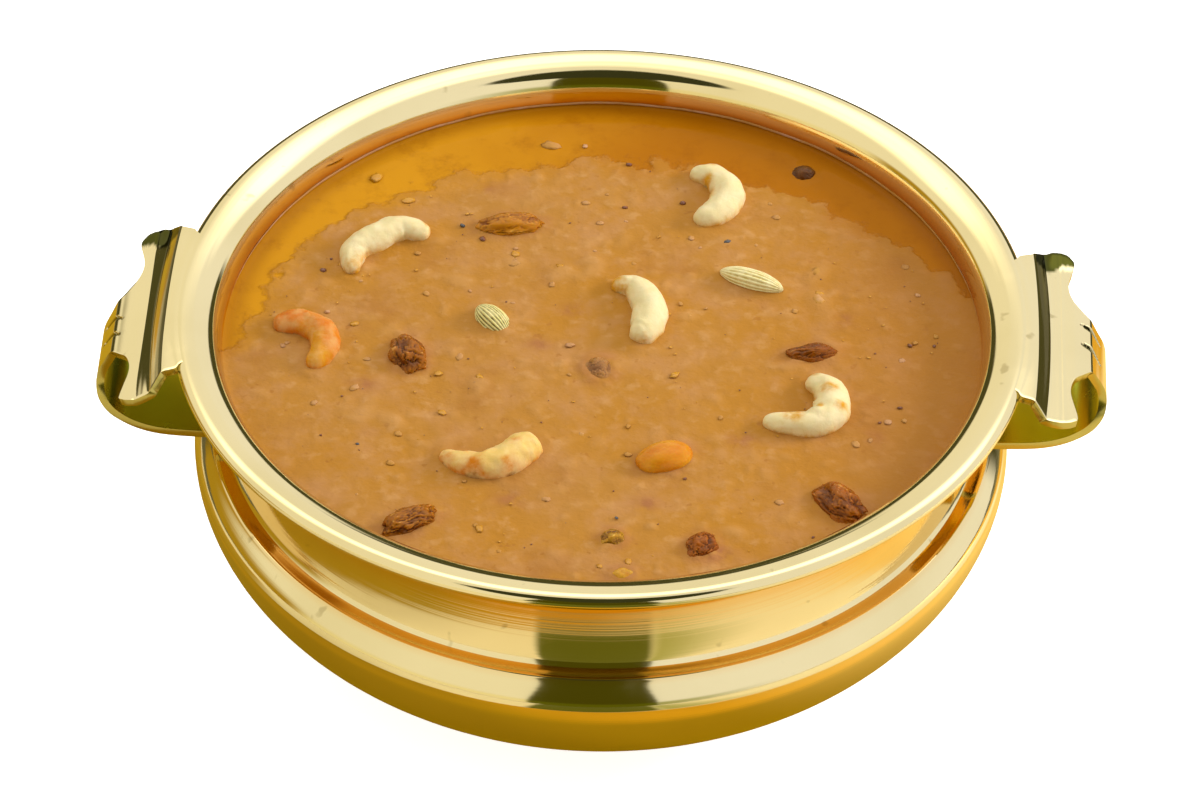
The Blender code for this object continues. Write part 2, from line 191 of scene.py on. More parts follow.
# Cashews: points of the curled spine, widths at the first end, the middle and the last end, height over the
# level, and toasted patches as (place along, side from -1 to 1, size, strength); millimetres
CASHEWS = {
    "cashew_1": (
        ((-66.1, 23.4), (-65.7, 31.7), (-60.2, 37.1), (-54.0, 41.1), (-47.3, 39.4)), (5.4, 7.8, 6.4), 0.5,
        ((0.02, 0.0, 3.0, 0.7), (0.15, 1.0, 3.0, 0.6), (0.75, -1.0, 3.4, 0.7), (0.95, -0.8, 2.4, 0.9)),
    ),
    "cashew_2": (
        ((-84.3, 1.2), (-78.3, 2.0), (-72.3, -1.2), (-70.9, -7.6), (-73.5, -14.7)), (7.0, 7.8, 5.8), -0.2,
        ((0.12, -0.4, 8.0, 1.0), (0.5, -0.7, 6.0, 0.9), (0.75, -0.6, 4.0, 0.7)),
    ),
    "cashew_3": (
        ((21.0, 68.2), (26.6, 66.9), (30.7, 60.2), (28.3, 52.7), (22.9, 48.7)), (5.4, 8.2, 6.6), 0.4,
        ((0.30, 0.8, 2.2, 0.8), (0.22, -0.6, 1.6, 0.6), (0.60, 0.9, 3.0, 0.55), (0.95, 0.9, 2.0, 0.4)),
    ),
    "cashew_4": (
        ((2.1, 21.3), (7.9, 20.1), (11.6, 12.1), (11.1, 4.0), (8.4, 0.4)), (5.4, 8.4, 6.8), 0.4,
        ((0.03, 0.0, 2.8, 0.75), (0.12, 0.7, 2.6, 0.55), (0.95, -0.7, 2.2, 0.35)),
    ),
    "cashew_5": (
        ((53.6, -14.2), (58.4, -18.4), (59.1, -26.2), (53.9, -31.3), (42.5, -30.4)), (6.6, 8.6, 5.8), 0.4,
        ((0.0, -0.2, 2.6, 0.7), (0.34, 0.1, 2.4, 1.3), (0.50, -0.5, 1.8, 1.1), (0.84, 0.2, 3.0, 1.0),
         (0.60, 0.4, 1.2, 0.9)),
    ),
    "cashew_6": (
        ((-38.2, -47.1), (-31.7, -50.6), (-24.2, -50.2), (-18.9, -45.1), (-15.6, -41.1)),
        (4.6, 8.2, 8.6), 0.3,
        ((0.10, 0.7, 3.0, 0.7), (0.32, 1.0, 3.6, 1.0), (0.55, 1.0, 3.4, 0.9), (0.72, -0.1, 2.2, 0.7),
         (0.30, -0.2, 3.0, 0.3)),
    ),
}
CASHEW_FLATNESS = 0.92
CASHEW_PLUMP = 1.16
CASHEW_RISE = 0.5
CASHEW_END_POWER = 4.6
CASHEW_END_ROUND = 0.40
GROOVE_WIDTH = 0.30
NUT_COLOURS = {
    "cashew_2": ((0.70, 0.31, 0.008), (0.66, 0.17, 0.0)),
    "cashew_6": ((0.82, 0.55, 0.15), (0.68, 0.21, 0.002)),
}
PALE_NUT = ((0.83, 0.69, 0.36), (0.66, 0.31, 0.010))

# Raisins: (x, y), (length, width, thickness), turn, height over the level, wrinkle depth,
# ridge colour of the body, lightened along the ridges into a painted highlight, and fold colour painted into
# the creases as shade
RAISINS = {
    "raisin_amber": ((-25.8, 45.5), (17.5, 9.0, 5.4), 8, 0.2, 0.7,
                     (0.50, 0.19, 0.008), (0.20, 0.050, 0.002)),
    "raisin_folded": ((-49.3, -8.6), (13.5, 9.4, 6.0), 98, 0.4, 1.0,
                      (0.34, 0.105, 0.004), (0.11, 0.022, 0.001)),
    "raisin_sunk": ((-0.3, -11.0), (10.5, 9.0, 5.0), 100, -1.2, 0.5,
                    (0.40, 0.18, 0.045), (0.15, 0.050, 0.012)),
    "raisin_flat": ((54.0, -2.4), (13.4, 7.0, 4.4), 10, 0.0, 0.8,
                    (0.26, 0.068, 0.003), (0.09, 0.017, 0.001)),
    "raisin_front_left": ((-45.0, -72.2), (16.0, 8.6, 5.6), 33, 0.2, 1.0,
                          (0.36, 0.120, 0.004), (0.11, 0.022, 0.001)),
    "raisin_large": ((62.0, -60.2), (15.5, 10.5, 6.0), -48, 0.2, 0.9,
                     (0.33, 0.090, 0.003), (0.10, 0.018, 0.001)),
    "raisin_front": ((27.9, -77.3), (9.6, 8.2, 5.0), 60, 0.0, 0.9,
                     (0.34, 0.090, 0.006), (0.09, 0.016, 0.002)),
    "raisin_olive": ((5.8, -75.6), (7.2, 6.6, 4.6), 20, -0.4, 0.6,
                     (0.48, 0.24, 0.018), (0.15, 0.050, 0.006)),
    "raisin_yellow": ((8.9, -88.4), (6.8, 5.0, 3.8), 5, -0.7, 0.3,
                      (0.64, 0.33, 0.030), (0.46, 0.19, 0.014)),
    "raisin_in_ghee": ((50.5, 71.3), (7.0, 7.0, 4.6), 0, -1.0, 0.4,
                       (0.12, 0.032, 0.002), (0.050, 0.010, 0.001)),
    "raisin_golden": ((17.6, -45.2), (15.2, 10.4, 7.0), 26, 0.6, 0.10,
                      (0.70, 0.29, 0.016), (0.60, 0.18, 0.005)),
}

# Seed of the noise that bends the raisins' folds, which makes them the same each time
RAISIN_SEED = 7

# Cardamom pods: (x, y), (length, width), turn, dip of one end, height over the level, ribs,
# husk colour, and the colour of the browned tips and of the painted shade in the grooves between the ribs
PODS = {
    "cardamom_green": ((-28.4, 6.4), (12.2, 7.6), -46, 14, -0.1, 24,
                       (0.80, 0.70, 0.27), (0.16, 0.115, 0.012)),
    "cardamom_pale": ((37.8, 25.2), (18.0, 6.6), -23, 0, 0.9, 18,
                      (0.86, 0.76, 0.38), (0.56, 0.40, 0.10)),
}

# Width over which the shore attribute runs from 0 in the ghee to 1 on the sweet
SHORE_SPAN = 0.024

# The skin climbs a topping (height, fading distance), dips round it (depth, how far off, width)
# and climbs the wall; it stands a little over the ghee, and its swells show this much through it
SKIN_GRID = 280
CLIMB = (0.00045, 0.0008)
DIP = (0.00008, 0.0030, 0.0014)
WALL_CLIMB = (0.0007, 0.0010)
DRY_RISE = 0.00012
GHEE_SHARE = 0.35

# Dried film: where it starts, how far it goes and how far its ends taper, in degrees,
# its height over the level and its half widths
FILM_SPAN = (4.0, 170.0, 30.0)
FILM_HEIGHT = 0.0011
FILM_HALVES = (0.00022, 0.00035)

# Places of what lies in the payasam's skin, in millimetres
PALE_LUMPS = ((-38.1, 21.9, 3.4), (-24.1, 30.0, 3.0), (-12.1, 26.3, 3.0), (-3.3, 28.6, 3.2),
              (55.4, 19.0, 3.8), (54.8, 30.0, 3.2), (-59.6, -31.7, 3.6), (-30.7, -19.0, 3.4),
              (-17.0, 79.4, 3.4), (-7.8, 79.6, 1.5), (-69.2, -9.8, 2.2), (21.3, 10.8, 2.4),
              (49.0, -7.5, 2.6), (-52.0, -34.0, 3.2))
OIL_EYES = ((-63.8, 3.4, 1.5), (-41.2, -15.3, 1.4), (-39.3, -30.3, 1.5), (-27.4, -73.8, 1.5),
            (-62.4, 63.4, 2.2), (-24.0, 33.5, 1.8), (-12.0, 29.0, 1.5), (-30.6, -16.0, 1.3),
            (19.0, -12.7, 1.6), (-53.4, 54.3, 1.9), (-69.0, 27.0, 1.2), (55.5, 21.5, 1.3),
            (-4.5, 31.0, 1.6), (10.0, -84.0, 1.4), (3.0, -86.0, 1.0))
SMUDGES = ((-16.0, -2.0, 3.0), (37.0, -37.0, 4.0), (70.0, -34.0, 3.0), (-60.0, -20.0, 3.5),
           (14.0, -62.0, 3.5), (-20.0, -62.0, 4.0), (33.0, -80.0, 4.5), (-34.0, 60.0, 2.5),
           (62.0, 12.0, 3.0), (-8.0, 12.0, 3.0))
SPECKS = {
    "blue": ((-38.6, 44.7, 1.3), (31.0, 41.5, 1.6), (-59.9, -43.4, 0.9), (6.4, -67.9, 0.9)),
    "brown": ((-32.9, 39.3, 1.8), (-73.7, 24.4, 1.8), (-71.8, 29.2, 0.8), (19.0, 57.1, 1.7), (3.8, 54.3, 1.2),
              (23.0, -52.4, 1.2), (76.7, -22.5, 1.2), (71.6, -28.6, 1.0), (79.0, 2.1, 1.4), (85.3, 2.1, 1.1),
              (-69.3, -40.4, 0.7), (55.5, -72.7, 0.8), (4.1, 72.4, 1.6)),
}


# What all colour properties share
COLOUR = {"size": 3, "subtype": "COLOR", "min": 0.0, "max": 1.0}


class PayasamBowlSizes(bpy.types.PropertyGroup):
    """Sizes and colour of the brass bowl."""

    turn_steps: IntProperty(name="Turn Steps", description="Steps round the turned bowl", default=224, min=24)
    wall: FloatProperty(name="Wall", description="Thickness of the brass", default=WALL, unit="LENGTH")
    strap: FloatProperty(name="Strap", description="Thickness of the handles", default=STRAP_THICK,
                         unit="LENGTH")
    brass: FloatVectorProperty(name="Brass", description="Colour of the polished brass", default=BRASS,
                               **COLOUR)


class PayasamSweetSizes(bpy.types.PropertyGroup):
    """Relief and colours of the payasam and the ghee."""

    relief: FloatProperty(name="Relief", description="Height of the skin's soft swells", default=0.00026,
                          unit="LENGTH")
    lumps: IntProperty(name="Lumps", description="Soft dal lumps under the skin", default=430, min=0)
    sweet: FloatVectorProperty(name="Payasam", description="Colour of the payasam",
                               default=(0.482, 0.224, 0.046), **COLOUR)
    ghee: FloatVectorProperty(name="Ghee", description="Colour of the clear ghee",
                              default=(0.43, 0.145, 0.002), **COLOUR)


class PayasamToppingSizes(bpy.types.PropertyGroup):
    """Fineness of the nuts, raisins and pods."""

    nut_segments: IntProperty(name="Nut Segments", description="Segments round a cashew", default=40, min=8)
    raisin_levels: IntProperty(name="Raisin Levels", description="Subdivisions of a raisin", default=5,
                               min=2, max=6)
    groove: FloatProperty(name="Groove", description="Depth of a cashew's split line", default=0.12, min=0.0)


# Meshes

def through(points, place):
    """The point at a place from 0 to 1 on a smooth curve through evenly spaced points of any length."""
    pts = np.asarray(points, float)
    last = len(pts) - 1
    index = min(int(place * last), last - 1)
    t = place * last - index
    a, b = pts[index], pts[index + 1]
    before = pts[max(index - 1, 0)]
    after = pts[min(index + 2, last)]
    pull_a, pull_b = (b - before) / 2.0, (after - a) / 2.0
    return ((2 * t ** 3 - 3 * t * t + 1) * a + (t ** 3 - 2 * t * t + t) * pull_a
            + (3 * t * t - 2 * t ** 3) * b + (t ** 3 - t * t) * pull_b)


def bezier(start, pull_1, pull_2, end, steps):
    """Points along a cubic curve, without its start."""
    a, b, c, d = (np.array(p) for p in (start, pull_1, pull_2, end))
    places = np.linspace(0.0, 1.0, steps + 1)[1:, None]
    rest = 1.0 - places
    return rest ** 3 * a + 3 * rest ** 2 * places * b + 3 * rest * places ** 2 * c + places ** 3 * d


def piece(name, shape, material, node=None, smooth=180.0):
    """Make the bmesh an object of the bowl that rides on its body."""
    mesh = bpy.data.meshes.new(name)
    shape.to_mesh(mesh)
    shape.free()
    mesh.shade_smooth()
    if smooth < 180.0:
        mesh.set_sharp_from_angle(angle=math.radians(smooth))
    mesh.materials.append(material)
    thing = bpy.data.objects.new(name, mesh)
    bpy.context.scene.collection.objects.link(thing)
    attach(thing, BODY)
    if node:
        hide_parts(node)
    return thing


def facing_out(shape):
    """Merge doubles and point the closed mesh's faces outward."""
    bmesh.ops.remove_doubles(shape, verts=shape.verts, dist=1e-6)
    bmesh.ops.recalc_face_normals(shape, faces=shape.faces)
    if shape.calc_volume(signed=True) < 0.0:
        bmesh.ops.reverse_faces(shape, faces=shape.faces)


def level_point(place, lift=0.0):
    """A point over the payasam's level, from millimetres."""
    return Vector((place[0] * MM, place[1] * MM, HEIGHT - LEVEL + lift * MM))


# Materials

def node(tree, kind, inputs=None, **settings):
    """A shader node with its settings, its inputs set to values or joined to other nodes' outputs."""
    made = tree.nodes.new(kind)
    for name, value in settings.items():
        setattr(made, name, value)
    for name, value in (inputs or {}).items():
        socket = made.inputs[name]
        if isinstance(value, bpy.types.NodeSocket):
            tree.links.new(value, socket)
        else:
            socket.default_value = value
    return made


def solve(tree, operation, first, second=0.0, third=0.0):
    """The output of a Math node."""
    return node(tree, "ShaderNodeMath", {0: first, 1: second, 2: third}, operation=operation).outputs[0]


def spread(tree, value, low, high, to_low=0.0, to_high=1.0):
    """The output of a smooth Map Range node."""
    inputs = {"Value": value, "From Min": low, "From Max": high, "To Min": to_low, "To Max": to_high}
    return node(tree, "ShaderNodeMapRange", inputs, interpolation_type="SMOOTHSTEP").outputs["Result"]


def blend(tree, share, first, second):
    """The colour output of a Mix node."""
    mixed = node(tree, "ShaderNodeMix", {"Factor": share}, data_type="RGBA")
    for socket, value in ((mixed.inputs[6], first), (mixed.inputs[7], second)):
        if isinstance(value, bpy.types.NodeSocket):
            tree.links.new(value, socket)
        else:
            socket.default_value = (*value[:3], 1.0)
    return mixed.outputs[2]


def times(tree, first, second):
    """The product of two values."""
    return solve(tree, "MULTIPLY", first, second)


def measure(tree, operation, first, second=(0.0, 0.0, 0.0)):
    """The value that a Vector Math node gives."""
    return node(tree, "ShaderNodeVectorMath", {0: first, 1: second}, operation=operation).outputs["Value"]


def toned(tree, colour, value, saturation=1.0):
    """A colour made brighter or darker, and stronger or weaker."""
    inputs = {"Saturation": saturation, "Value": value, "Color": colour}
    return node(tree, "ShaderNodeHueSaturation", inputs).outputs[0]


def attribute(tree, name):
    """The value that a piece's mesh carries under a name."""
    return node(tree, "ShaderNodeAttribute", attribute_name=name).outputs["Fac"]


def object_place(tree):
    """The place on the piece, in metres."""
    return node(tree, "ShaderNodeTexCoord").outputs["Object"]


def shaded(colour, *factors):
    """A colour with each of its channels multiplied by a factor."""
    return tuple(min(c * f, 1.0) for c, f in zip(colour, factors))


def grain(tree, scale, detail=2.0, vector=None, roughness=0.5):
    """The value of a noise texture in object space."""
    if vector is None:
        vector = object_place(tree)
    inputs = {"Vector": vector, "Scale": scale, "Detail": detail, "Roughness": roughness}
    return node(tree, "ShaderNodeTexNoise", inputs).outputs["Fac"]


def shader_group(name, inputs, outputs):
    """A node group with named inputs and outputs: its tree, its input node and its output node."""
    tree = bpy.data.node_groups.new(name, "ShaderNodeTree")
    kinds = {float: "NodeSocketFloat", tuple: "NodeSocketColor"}
    for label, value in inputs.items():
        socket = tree.interface.new_socket(name=label, in_out="INPUT", socket_type=kinds[type(value)])
        socket.default_value = (*value, 1.0) if isinstance(value, tuple) else value
    for label, kind in outputs.items():
        tree.interface.new_socket(name=label, in_out="OUTPUT", socket_type=kinds[kind])
    return tree, tree.nodes.new("NodeGroupInput").outputs, tree.nodes.new("NodeGroupOutput").inputs


def brass_group():
    """Polished brass: a tint painted where the hollow attribute says, clouds, smudges, turning rings and
    hammered dimples. The tint is a painted reflection on the bowl and the ears, and patina in the leaf cuts.
    """
    if "Polished Brass" in bpy.data.node_groups:
        return bpy.data.node_groups["Polished Brass"]
    tree, take, give = shader_group(
        "Polished Brass",
        {"Metal": BRASS, "Hollow": REFLECTION_TINT_BRASS, "Rings": 1.0, "Hammering": 0.0, "Dullness": 0.05},
        {"Color": tuple, "Roughness": float, "Height": float},
    )
    place = object_place(tree)
    parts = node(tree, "ShaderNodeSeparateXYZ", {0: place}).outputs
    flat = node(tree, "ShaderNodeCombineXYZ", {"X": parts["X"], "Y": parts["Y"]}).outputs[0]
    radius = measure(tree, "LENGTH", flat)
    ring_place = node(tree, "ShaderNodeCombineXYZ", {"X": radius, "Y": parts["Z"]}).outputs[0]
    rings = grain(tree, 900.0, 3.0, ring_place)
    clouds = grain(tree, 22.0, 4.0, place)
    smudges = spread(tree, grain(tree, 75.0, 5.0, place, 0.65), 0.52, 0.74)
    dimples = grain(tree, 55.0, 1.0, place)
    # The hollow attribute says where the Hollow colour is painted in: painted reflection on the bowl and the
    # ears, patina in the leaf cuts
    metal = blend(tree, attribute(tree, "hollow"), take["Metal"], take["Hollow"])
    dark = toned(tree, metal, 0.86, 1.12)
    tarnished = blend(tree, spread(tree, clouds, 0.40, 0.80, 0.0, 0.6), metal, dark)
    spots = spread(tree, grain(tree, 160.0, 2.0, place), 0.70, 0.78, 0.0, 0.5)
    tree.links.new(blend(tree, spots, tarnished, (0.40, 0.31, 0.13)), give["Color"])
    rough = solve(tree, "MULTIPLY_ADD", smudges, 0.06, take["Dullness"])
    tree.links.new(solve(tree, "MULTIPLY_ADD", clouds, 0.03, rough), give["Roughness"])
    ring_height = times(tree, rings, take["Rings"])
    tree.links.new(solve(tree, "MULTIPLY_ADD", dimples, take["Hammering"], ring_height), give["Height"])
    return tree


def finish(name, **values):
    """A Principled material with constant values on its own sockets: material, tree and shader."""
    material = bpy.data.materials.new(name)
    material.use_nodes = True
    tree = material.node_tree
    shader = tree.nodes["Principled BSDF"]
    for label, value in values.items():
        shader.inputs[label.replace("_", " ")].default_value = value
    return material, tree, shader


def raise_bump(tree, shader, height, distance, strength=1.0):
    """Join a height to the shader's normal through a Bump node."""
    bump = node(tree, "ShaderNodeBump", {"Height": height, "Distance": distance, "Strength": strength})
    tree.links.new(bump.outputs[0], shader.inputs["Normal"])


def brass_finish(name, colour, rings, hammering, dullness, hollow=REFLECTION_TINT_BRASS):
    """Brass for one piece, from the shared group."""
    material, tree, shader = finish(name, Metallic=1.0)
    made = node(tree, "ShaderNodeGroup", node_tree=brass_group())
    made.inputs["Metal"].default_value = (*colour, 1.0)
    made.inputs["Hollow"].default_value = (*hollow, 1.0)
    made.inputs["Rings"].default_value = rings
    made.inputs["Hammering"].default_value = hammering
    made.inputs["Dullness"].default_value = dullness
    tree.links.new(made.outputs["Color"], shader.inputs["Base Color"])
    tree.links.new(made.outputs["Roughness"], shader.inputs["Roughness"])
    raise_bump(tree, shader, made.outputs["Height"], 0.00004)
    return material


def payasam_finish(name, colour, ghee=None):
    """Cooked sweet: mottled caramel, paler over the lumps, stained and glazed by ghee along its shore; with
    ghee, also painted shade towards +X and a painted shade fringe at the shore.
    """
    material, tree, shader = finish(name, Specular_IOR_Level=0.08)
    shader.inputs["Specular Tint"].default_value = (1.0, 0.60, 0.16, 1.0)
    lump = attribute(tree, "lump")
    clouds = spread(tree, grain(tree, 24.0, 5.0), 0.34, 0.70)
    streaks = spread(tree, grain(tree, 75.0, 4.0, roughness=0.6), 0.42, 0.74)
    small = grain(tree, 260.0, 3.0)
    golden = shaded(colour, 1.01, 0.95, 0.55)
    pink = shaded(colour, 1.08, 1.13, 1.9)
    pale = shaded(colour, 1.25, 1.42, 2.5)
    mauve = shaded(colour, 0.78, 0.64, 1.35)
    brown = shaded(colour, 0.80, 0.68, 0.60)
    tone = blend(tree, clouds, golden, colour)
    tone = blend(tree, times(tree, streaks, 0.9), tone, pink)
    tone = blend(tree, spread(tree, small, 0.52, 0.78, 0.0, 0.6), tone, pale)
    for scale, detail, roughness, low in ((48.0, 5.0, 0.6, 0.54), (330.0, 2.0, 0.5, 0.66)):
        patches = grain(tree, scale, detail, roughness=roughness)
        tone = blend(tree, spread(tree, patches, low, 0.76, 0.0, 0.6), tone, brown)
    tone = blend(tree, times(tree, lump, 0.50), tone, pale)
    smudge = times(tree, attribute(tree, "smudge"), spread(tree, grain(tree, 190.0, 3.0), 0.30, 0.60))
    tone = blend(tree, times(tree, smudge, 0.85), tone, mauve)
    wet = solve(tree, "MULTIPLY_ADD", grain(tree, 60.0, 4.0), 0.16, 0.26)
    fine = solve(tree, "MULTIPLY_ADD", grain(tree, 900.0, 2.0), 0.25, small)
    if ghee:
        land = attribute(tree, "shore")
        place = object_place(tree)
        across = node(tree, "ShaderNodeSeparateXYZ", {0: place}).outputs["X"]
        ragged = solve(tree, "MULTIPLY_ADD", grain(tree, 170.0, 5.0, roughness=0.65), 0.24, land)
        flat = node(tree, "ShaderNodeVectorMath", {0: place, 1: (1.0, 1.0, 0.0)}, operation="MULTIPLY")
        far = measure(tree, "LENGTH", flat.outputs[0])
        lean = solve(tree, "MULTIPLY_ADD", grain(tree, 30.0, 4.0), 0.05, across)
        bright = shaded(ghee, 1.50, 1.95, 4.0)
        deep = shaded(ghee, 0.68, 0.58, 0.4)
        pool = blend(tree, spread(tree, lean, -0.030, 0.045), bright, ghee)
        murk = spread(tree, grain(tree, 110.0, 5.0, roughness=0.7), 0.48, 0.76, 0.0, 0.42)
        pool = blend(tree, murk, pool, deep)
        pool = blend(tree, spread(tree, far, 0.0905, 0.0972, 0.0, 0.50), pool, deep)
        shallow = blend(tree, 0.45, pool, tone)
        reach = solve(tree, "MULTIPLY_ADD", grain(tree, 42.0, 5.0), 0.9, land)
        stain = spread(tree, reach, 1.22, 0.94, 0.0, 0.75)
        # Painted shade: darker towards +X, standing in for the lip's shadow on that side
        tone = blend(tree, spread(tree, across, 0.03, 0.09, 0.0, 0.6), tone, brown)
        tone = blend(tree, stain, tone, shallow)
        # A thin darker fringe painted inside the shore as its shade
        edge = times(tree, spread(tree, ragged, 0.56, 0.60), spread(tree, ragged, 0.66, 0.62))
        tone = blend(tree, spread(tree, ragged, 0.640, 0.595), tone, pool)
        tone = blend(tree, times(tree, edge, 0.22), tone, deep)
        dry = spread(tree, ragged, 0.57, 0.66)
        wet = solve(tree, "MULTIPLY_ADD", dry, solve(tree, "SUBTRACT", wet, 0.06), 0.06)
        fine = times(tree, fine, dry)
    tree.links.new(tone, shader.inputs["Base Color"])
    tree.links.new(wet, shader.inputs["Roughness"])
    raise_bump(tree, shader, fine, 0.00034)
    return material


def toast_group():
    """Fried food: toasted where the piece's toast attribute says, with fine uneven edges; on the pods that
    attribute also paints shade into the grooves.
    """
    if "Fried Toast" in bpy.data.node_groups:
        return bpy.data.node_groups["Fried Toast"]
    tree, take, give = shader_group(
        "Fried Toast",
        {"Pale": (0.88, 0.70, 0.40), "Toast": (0.70, 0.27, 0.035), "Fineness": 1.0},
        {"Color": tuple, "Roughness": float, "Height": float},
    )
    toast = attribute(tree, "toast")
    place = object_place(tree)
    inputs = {0: place, "Scale": take["Fineness"]}
    scaled = node(tree, "ShaderNodeVectorMath", inputs, operation="SCALE").outputs[0]
    uneven = grain(tree, 380.0, 5.0, scaled, 0.65)
    share = solve(tree, "ADD", toast, solve(tree, "MULTIPLY_ADD", uneven, 0.9, -0.45))
    browned = blend(tree, spread(tree, share, 0.10, 0.85), take["Pale"], take["Toast"])
    deep = toned(tree, take["Toast"], 0.40)
    browned = blend(tree, spread(tree, share, 1.00, 1.45), browned, deep)
    soft = spread(tree, grain(tree, 240.0, 4.0, scaled, 0.6), 0.35, 0.70, 0.0, 0.75)
    cream = toned(tree, take["Pale"], 1.05, 0.84)
    tree.links.new(blend(tree, soft, browned, cream), give["Color"])
    tree.links.new(spread(tree, uneven, 0.2, 0.8, 0.26, 0.48), give["Roughness"])
    tree.links.new(uneven, give["Height"])
    return tree


def toasted_finish(name, pale, toast, coat, fineness=1.0, sink=0.10):
    """A fried nut's or husk's material from the shared group."""
    material, tree, shader = finish(name, Coat_Weight=coat, Coat_Roughness=0.15, Subsurface_Weight=sink,
                                    Subsurface_Scale=0.0015, Specular_IOR_Level=0.14)
    made = node(tree, "ShaderNodeGroup", node_tree=toast_group())
    made.inputs["Pale"].default_value = (*pale, 1.0)
    made.inputs["Toast"].default_value = (*toast, 1.0)
    made.inputs["Fineness"].default_value = fineness
    tree.links.new(made.outputs["Color"], shader.inputs["Base Color"])
    tree.links.new(made.outputs["Roughness"], shader.inputs["Roughness"])
    raise_bump(tree, shader, made.outputs["Height"], 0.00022)
    return material


def raisin_finish(name, ridge, fold_shade):
    """A wet raisin: painted shade dark in its folds, amber on its body and a painted highlight along its
    ridges.
    """
    material, tree, shader = finish(name, Coat_Weight=0.16, Coat_Roughness=0.05, Subsurface_Weight=0.20,
                                    Subsurface_Scale=0.002, Specular_IOR_Level=0.35)
    shader.inputs["Subsurface Radius"].default_value = (1.0, 0.35, 0.08)
    shader.inputs["Specular Tint"].default_value = (1.0, 0.50, 0.15, 1.0)
    height = attribute(tree, "ridge")
    uneven = solve(tree, "MULTIPLY_ADD", grain(tree, 260.0, 3.0), 0.9, -0.45)
    share = solve(tree, "MULTIPLY_ADD", uneven, 0.35, height)
    # Painted highlight colour for the ridges
    light = (min(ridge[0] * 1.4 + 0.14, 1.0), ridge[1] * 1.7 + 0.12, ridge[2] * 2.0 + 0.06)
    tone = blend(tree, spread(tree, share, 0.10, 0.66), fold_shade, ridge)
    tone = blend(tree, spread(tree, share, 0.74, 1.0, 0.0, 0.85), tone, light)
    tree.links.new(tone, shader.inputs["Base Color"])
    tree.links.new(spread(tree, grain(tree, 600.0, 2.0), 0.3, 0.7, 0.12, 0.30), shader.inputs["Roughness"])
    raise_bump(tree, shader, grain(tree, 700.0, 2.0), 0.00005)
    return material


# The bowl

def belly_curve(steps):
    """The round belly from its widest ring down to the base."""
    lowest = math.asin(((HEIGHT - BELLY[1]) / BELLY_DROP) ** (BELLY_POWER / 2))
    angles = np.linspace(0.0, lowest, steps + 1)[1:]
    radii = BELLY[0] * np.cos(angles) ** (2 / BELLY_POWER)
    return np.stack([radii, BELLY[1] + BELLY_DROP * np.sin(angles) ** (2 / BELLY_POWER)], 1)


def outer_side():
    """The bowl's outer side from under the lip, over the neck, ledge and ridge, to the base's edge."""
    return np.vstack([
        bezier(LIP_CROWN[-1], *UNDER_LIP_PULLS, NECK, 22),
        bezier(NECK, *NECK_PULLS, LEDGE, 26),
        bezier(LEDGE, *LEDGE_PULLS, RIDGE[0], 6),
        RIDGE[1:],
        bezier(RIDGE[-1], *SHOULDER_PULLS, BELLY, 14),
        belly_curve(28),
    ])


def inner_side(distance, neck, shoulder, belly):
    """The inside below the level, from the neck to the floor's centre, at a distance from the outside."""
    curve = np.vstack([
        [NECK],
        bezier(NECK, *CORE_NECK, neck),
        bezier(CORE_NECK[-1], *CORE_SHOULDER, shoulder),
        belly_curve(belly),
    ])
    along = np.gradient(curve, axis=0)
    along /= np.linalg.norm(along, axis=1)[:, None]
    moved = curve + np.stack([-along[:, 1], along[:, 0]], 1) * distance
    floor = HEIGHT - distance
    moved = moved[moved[:, 1] < floor]
    return np.vstack([moved, [(moved[-1][0] * 0.8, floor), (0.0, floor)]])


def turned(profile, reflection_tints, steps):
    """A bmesh turned round Z from a section's (radius, depth) points and the share of painted reflection tint
    at each, kept in the hollow attribute.
    """
    shape = bmesh.new()
    layer = shape.verts.layers.float.new("hollow")
    verts = [shape.verts.new((r, 0.0, HEIGHT - d)) for r, d in profile]
    for vert, hollow in zip(verts, reflection_tints):
        vert[layer] = hollow
    edges = [shape.edges.new(pair) for pair in zip(verts, verts[1:])]
    bmesh.ops.spin(shape, geom=verts + edges, cent=(0, 0, 0), axis=(0, 0, 1), angle=2 * math.pi, steps=steps,
                   use_merge=True)
    return shape


class PAYASAM_OT_bowl(bpy.types.Operator):
    """Turn the brass bowl: belly, ridge, hollow neck and flared lip"""

    bl_idname = "payasam.bowl"
    bl_label = "Brass Bowl"

    def execute(self, context):
        sizes = context.scene.payasam_bowl
        lip = np.array([through(LIP_ROLL, place) for place in np.linspace(0.0, 1.0, LIP_POINTS)])
        lip = np.stack([np.minimum(lip[:, 0], LIP_R), np.maximum(lip[:, 1], 0.0)], 1)
        inside = inner_side(sizes.wall, 10, 4, 12)[::-1]
        outside = np.vstack([outer_side(), [(0.0, HEIGHT)]])
        clean = np.zeros(len(inside))
        # Shares of the orange tint painted into the brass as reflection colour, inside the lip and outside
        rolled = np.interp(lip[:, 1], *INNER_REFLECTION_TINT) * (lip[:, 0] < LIP_TOP[0])
        reflection_tints = np.concatenate([clean, rolled, np.interp(outside[:, 1], *OUTER_REFLECTION_TINT)])
        shape = turned(np.vstack([inside, lip, outside]), reflection_tints, sizes.turn_steps)
        facing_out(shape)
        material = brass_finish("Brass turned", sizes.brass, 0.5, 0.4, 0.05)
        piece("brass_bowl", shape, material, "bowl", smooth=60.0)
        return {"FINISHED"}


def strap_top():
    """Reach and depth along the middle of the strap's upper run, for finding the depth at any reach."""
    last = len(STRAP_ROWS) - 1
    places = np.linspace(0.0, STRAP_TURN_ROW / last, 300)
    middle = np.array([through(STRAP_ROWS, place)[:2] for place in places])
    return np.maximum.accumulate(middle[:, 0]), middle[:, 1]


